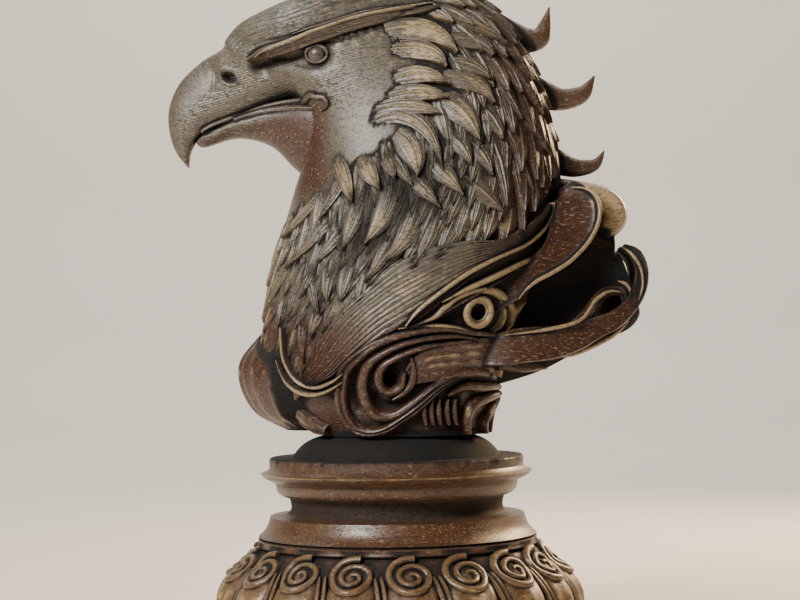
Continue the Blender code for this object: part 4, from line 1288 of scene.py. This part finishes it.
def new_group(name, inputs, outputs):
    """A node group with named inputs, each with its value, and named outputs."""
    group = bpy.data.node_groups.new(name, "ShaderNodeTree")
    for label, value in inputs.items():
        kind = "NodeSocketColor" if isinstance(value, tuple) else "NodeSocketFloat"
        group.interface.new_socket(label, in_out="INPUT", socket_type=kind).default_value = value
    for label, kind in outputs.items():
        group.interface.new_socket(label, in_out="OUTPUT", socket_type=kind)
    return group, group.nodes.new("NodeGroupInput").outputs, group.nodes.new("NodeGroupOutput")


def wood_figure_group():
    """Short dark pores, short pale dashes painted as glints, long streaks along the grain, and slow
    blotches.
    """
    group, _, result = new_group(
        "wood_figure", {}, dict.fromkeys(("Pores", "Glints", "Streaks", "Blotches"), "NodeSocketFloat")
    )
    place = group.nodes.new("ShaderNodeTexCoord").outputs["Object"]
    pores = between(group, speckle(group, place, (330, 1500, 1350)), 0.56, 0.66)
    glints = between(group, speckle(group, place, (380, 1300, 1650)), 0.56, 0.68)
    streaks = speckle(group, place, (28, 320, 420), 3.0)
    blotches = speckle(group, place, (22, 34, 30), 3.0)
    fill(group, result, {"Pores": pores, "Glints": glints, "Streaks": streaks, "Blotches": blotches})
    return group


def stain_and_light_group():
    """The colour and roughness of stained wood, with painted shade in hollows, wear and painted highlight
    on edges, and painted sheen on faces.
    """
    group, given, result = new_group(
        "stain_wear_and_painted_light",
        {
            "Hollow Shade": 0.0, "Wear And Highlight": 0.0, "Painted Sheen": 0.5,
            "Pores": 0.0, "Glints": 0.0, "Streaks": 0.5, "Blotches": 0.5,
            "Stain And Shade": (0.01, 0.006, 0.004, 1.0), "Wood": (0.1, 0.05, 0.03, 1.0),
            "Sheen Colour": (0.25, 0.2, 0.15, 1.0), "Edge": (0.5, 0.4, 0.25, 1.0)
        },
        {"Color": "NodeSocketColor", "Roughness": "NodeSocketFloat", "Coat": "NodeSocketFloat"},
    )
    # Painted sheen: the wood turns paler grey-tan where the pale attribute sets it, broken into patches
    patchy = between(group, given["Blotches"], 0.2, 0.55, 0.55, 1.0)
    sheen = sum_of(group, "MULTIPLY", given["Painted Sheen"], patchy)
    colour = mixed(group, sheen, given["Wood"], given["Sheen Colour"])
    colour = mixed(group, between(group, given["Streaks"], 0.5, 0.72, 0.0, 0.45), colour, given["Stain And Shade"])
    # Painted glints: short pale dashes in the edge colour
    colour = mixed(group, sum_of(group, "MULTIPLY", given["Glints"], 0.3), colour, given["Edge"])
    # Wear and painted highlight on the edges, in the edge colour
    colour = mixed(group, sum_of(group, "MULTIPLY", given["Wear And Highlight"], 0.85), colour, given["Edge"])
    colour = mixed(group, sum_of(group, "MULTIPLY", given["Pores"], 0.62), colour, given["Stain And Shade"])
    # Painted shade in the hollows
    colour = mixed(group, given["Hollow Shade"], colour, given["Stain And Shade"])
    rough = between(group, given["Hollow Shade"], 0.0, 1.0, 0.40, 0.85)
    rough = sum_of(group, "ADD", rough, sum_of(group, "MULTIPLY", given["Pores"], 0.15))
    coat = between(group, given["Hollow Shade"], 0.2, 0.9, 0.35, 0.0)
    fill(group, result, {"Color": colour, "Roughness": rough, "Coat": coat})
    return group


def cut_group():
    """The height of the knife's lines and of the pores, from 0 to 1."""
    group, given, result = new_group(
        "knife_cuts",
        {"Stroke": 0.0, "Pores": 0.0, "Glints": 0.0, "Streaks": 0.5, "Line Depth": 0.5},
        {"Height": "NodeSocketFloat"},
    )
    wander = sum_of(group, "MULTIPLY", given["Streaks"], 5.0)
    phase = sum_of(group, "ADD", sum_of(group, "MULTIPLY", given["Stroke"], 5.2), wander)
    lines = sum_of(group, "MULTIPLY", sum_of(group, "SINE", phase), given["Line Depth"])
    dips = sum_of(group, "MULTIPLY", sum_of(group, "SUBTRACT", given["Glints"], given["Pores"]), 0.8)
    fill(group, result, {"Height": sum_of(group, "ADD", lines, dips)})
    return group


def attribute(tree, name):
    item = tree.nodes.new("ShaderNodeAttribute")
    item.attribute_name = name
    return item.outputs["Fac"]


def grouped(tree, group, inputs):
    item = tree.nodes.new("ShaderNodeGroup")
    item.node_tree = group
    return fill(tree, item, inputs).outputs


def stained_wood(name, groups, colours, line_depth):
    """A finished wood: the carver's cuts, the painted shade in them and the light wax coat over all."""
    figure_group, colour_group, height_group = groups
    material = bpy.data.materials.new(name)
    material.use_nodes = True
    tree = material.node_tree
    shader = tree.nodes["Principled BSDF"]
    figure = grouped(tree, figure_group, {})
    look = {label: figure[label] for label in ("Pores", "Glints", "Streaks", "Blotches")}
    for label, name_ in (("Hollow Shade", "hollow_shade"), ("Wear And Highlight", "wear_and_highlight"), ("Painted Sheen", "pale")):
        look[label] = attribute(tree, name_)
    look.update(colours)
    finish = grouped(tree, colour_group, look)
    cuts = {label: figure[label] for label in ("Pores", "Glints", "Streaks")}
    cuts["Stroke"] = attribute(tree, "stroke")
    cuts["Line Depth"] = line_depth
    height = grouped(tree, height_group, cuts)["Height"]
    bump = tree.nodes.new("ShaderNodeBump")
    fill(tree, bump, {"Height": height, "Distance": 0.00035, "Strength": 0.8})
    fill(
        tree,
        shader,
        {
            "Base Color": finish["Color"], "Roughness": finish["Roughness"], "Coat Weight": finish["Coat"],
            "Normal": bump.outputs[0]
        },
    )
    shader.inputs["Specular IOR Level"].default_value = 0.5
    shader.inputs["Coat Roughness"].default_value = 0.35
    return material


def build():
    random = np.random.default_rng(7)
    groups = wood_figure_group(), stain_and_light_group(), cut_group()
    carved = stained_wood("carved_wood", groups, CARVED_COLOURS, CARVED_LINE_DEPTH)
    turned = stained_wood("turned_wood", groups, TURNED_COLOURS, TURNED_LINE_DEPTH)
    body, jaw, face = head_parts()
    plumes = under_plumage(random) + drawn_plumage()
    bust = {
        "head_and_neck": [body],
        "lower_beak": [jaw],
        "brow_and_lips": both_sides(face),
        "eyes": both_sides(eye_parts()),
        "plumage_left": plumes,
        "plumage_right": mirrored(plumes),
        "grooved_bands": both_sides([grooved_band()]),
        "scroll_bands": both_sides(scroll_bands()),
        "highlit_lines": both_sides(highlit_lines()),
        "tail_leaves": both_sides(tail_leaves()) + tail_middle()[1:],
        "tail_rims": both_sides(tail_rims()),
        "tail_lobe": tail_middle()[:1],
        "nape_locks": nape_locks(),
        "breast_leaf": breast_leaf(),
    }
    items = [
        mesh_piece(name, shapes, carved, "eagle_bust", sheen=SHEEN_SHARE.get(name, 1.0))
        for name, shapes in bust.items()
    ]
    items.append(mesh_piece("turned_plinth", [turned_body()], turned, "plinth", 30))
    items.append(mesh_piece("scroll_ring", scroll_ring(), turned, "plinth"))
    note_hollows(items)


make_camera()
make_light()
make_stage()
build()
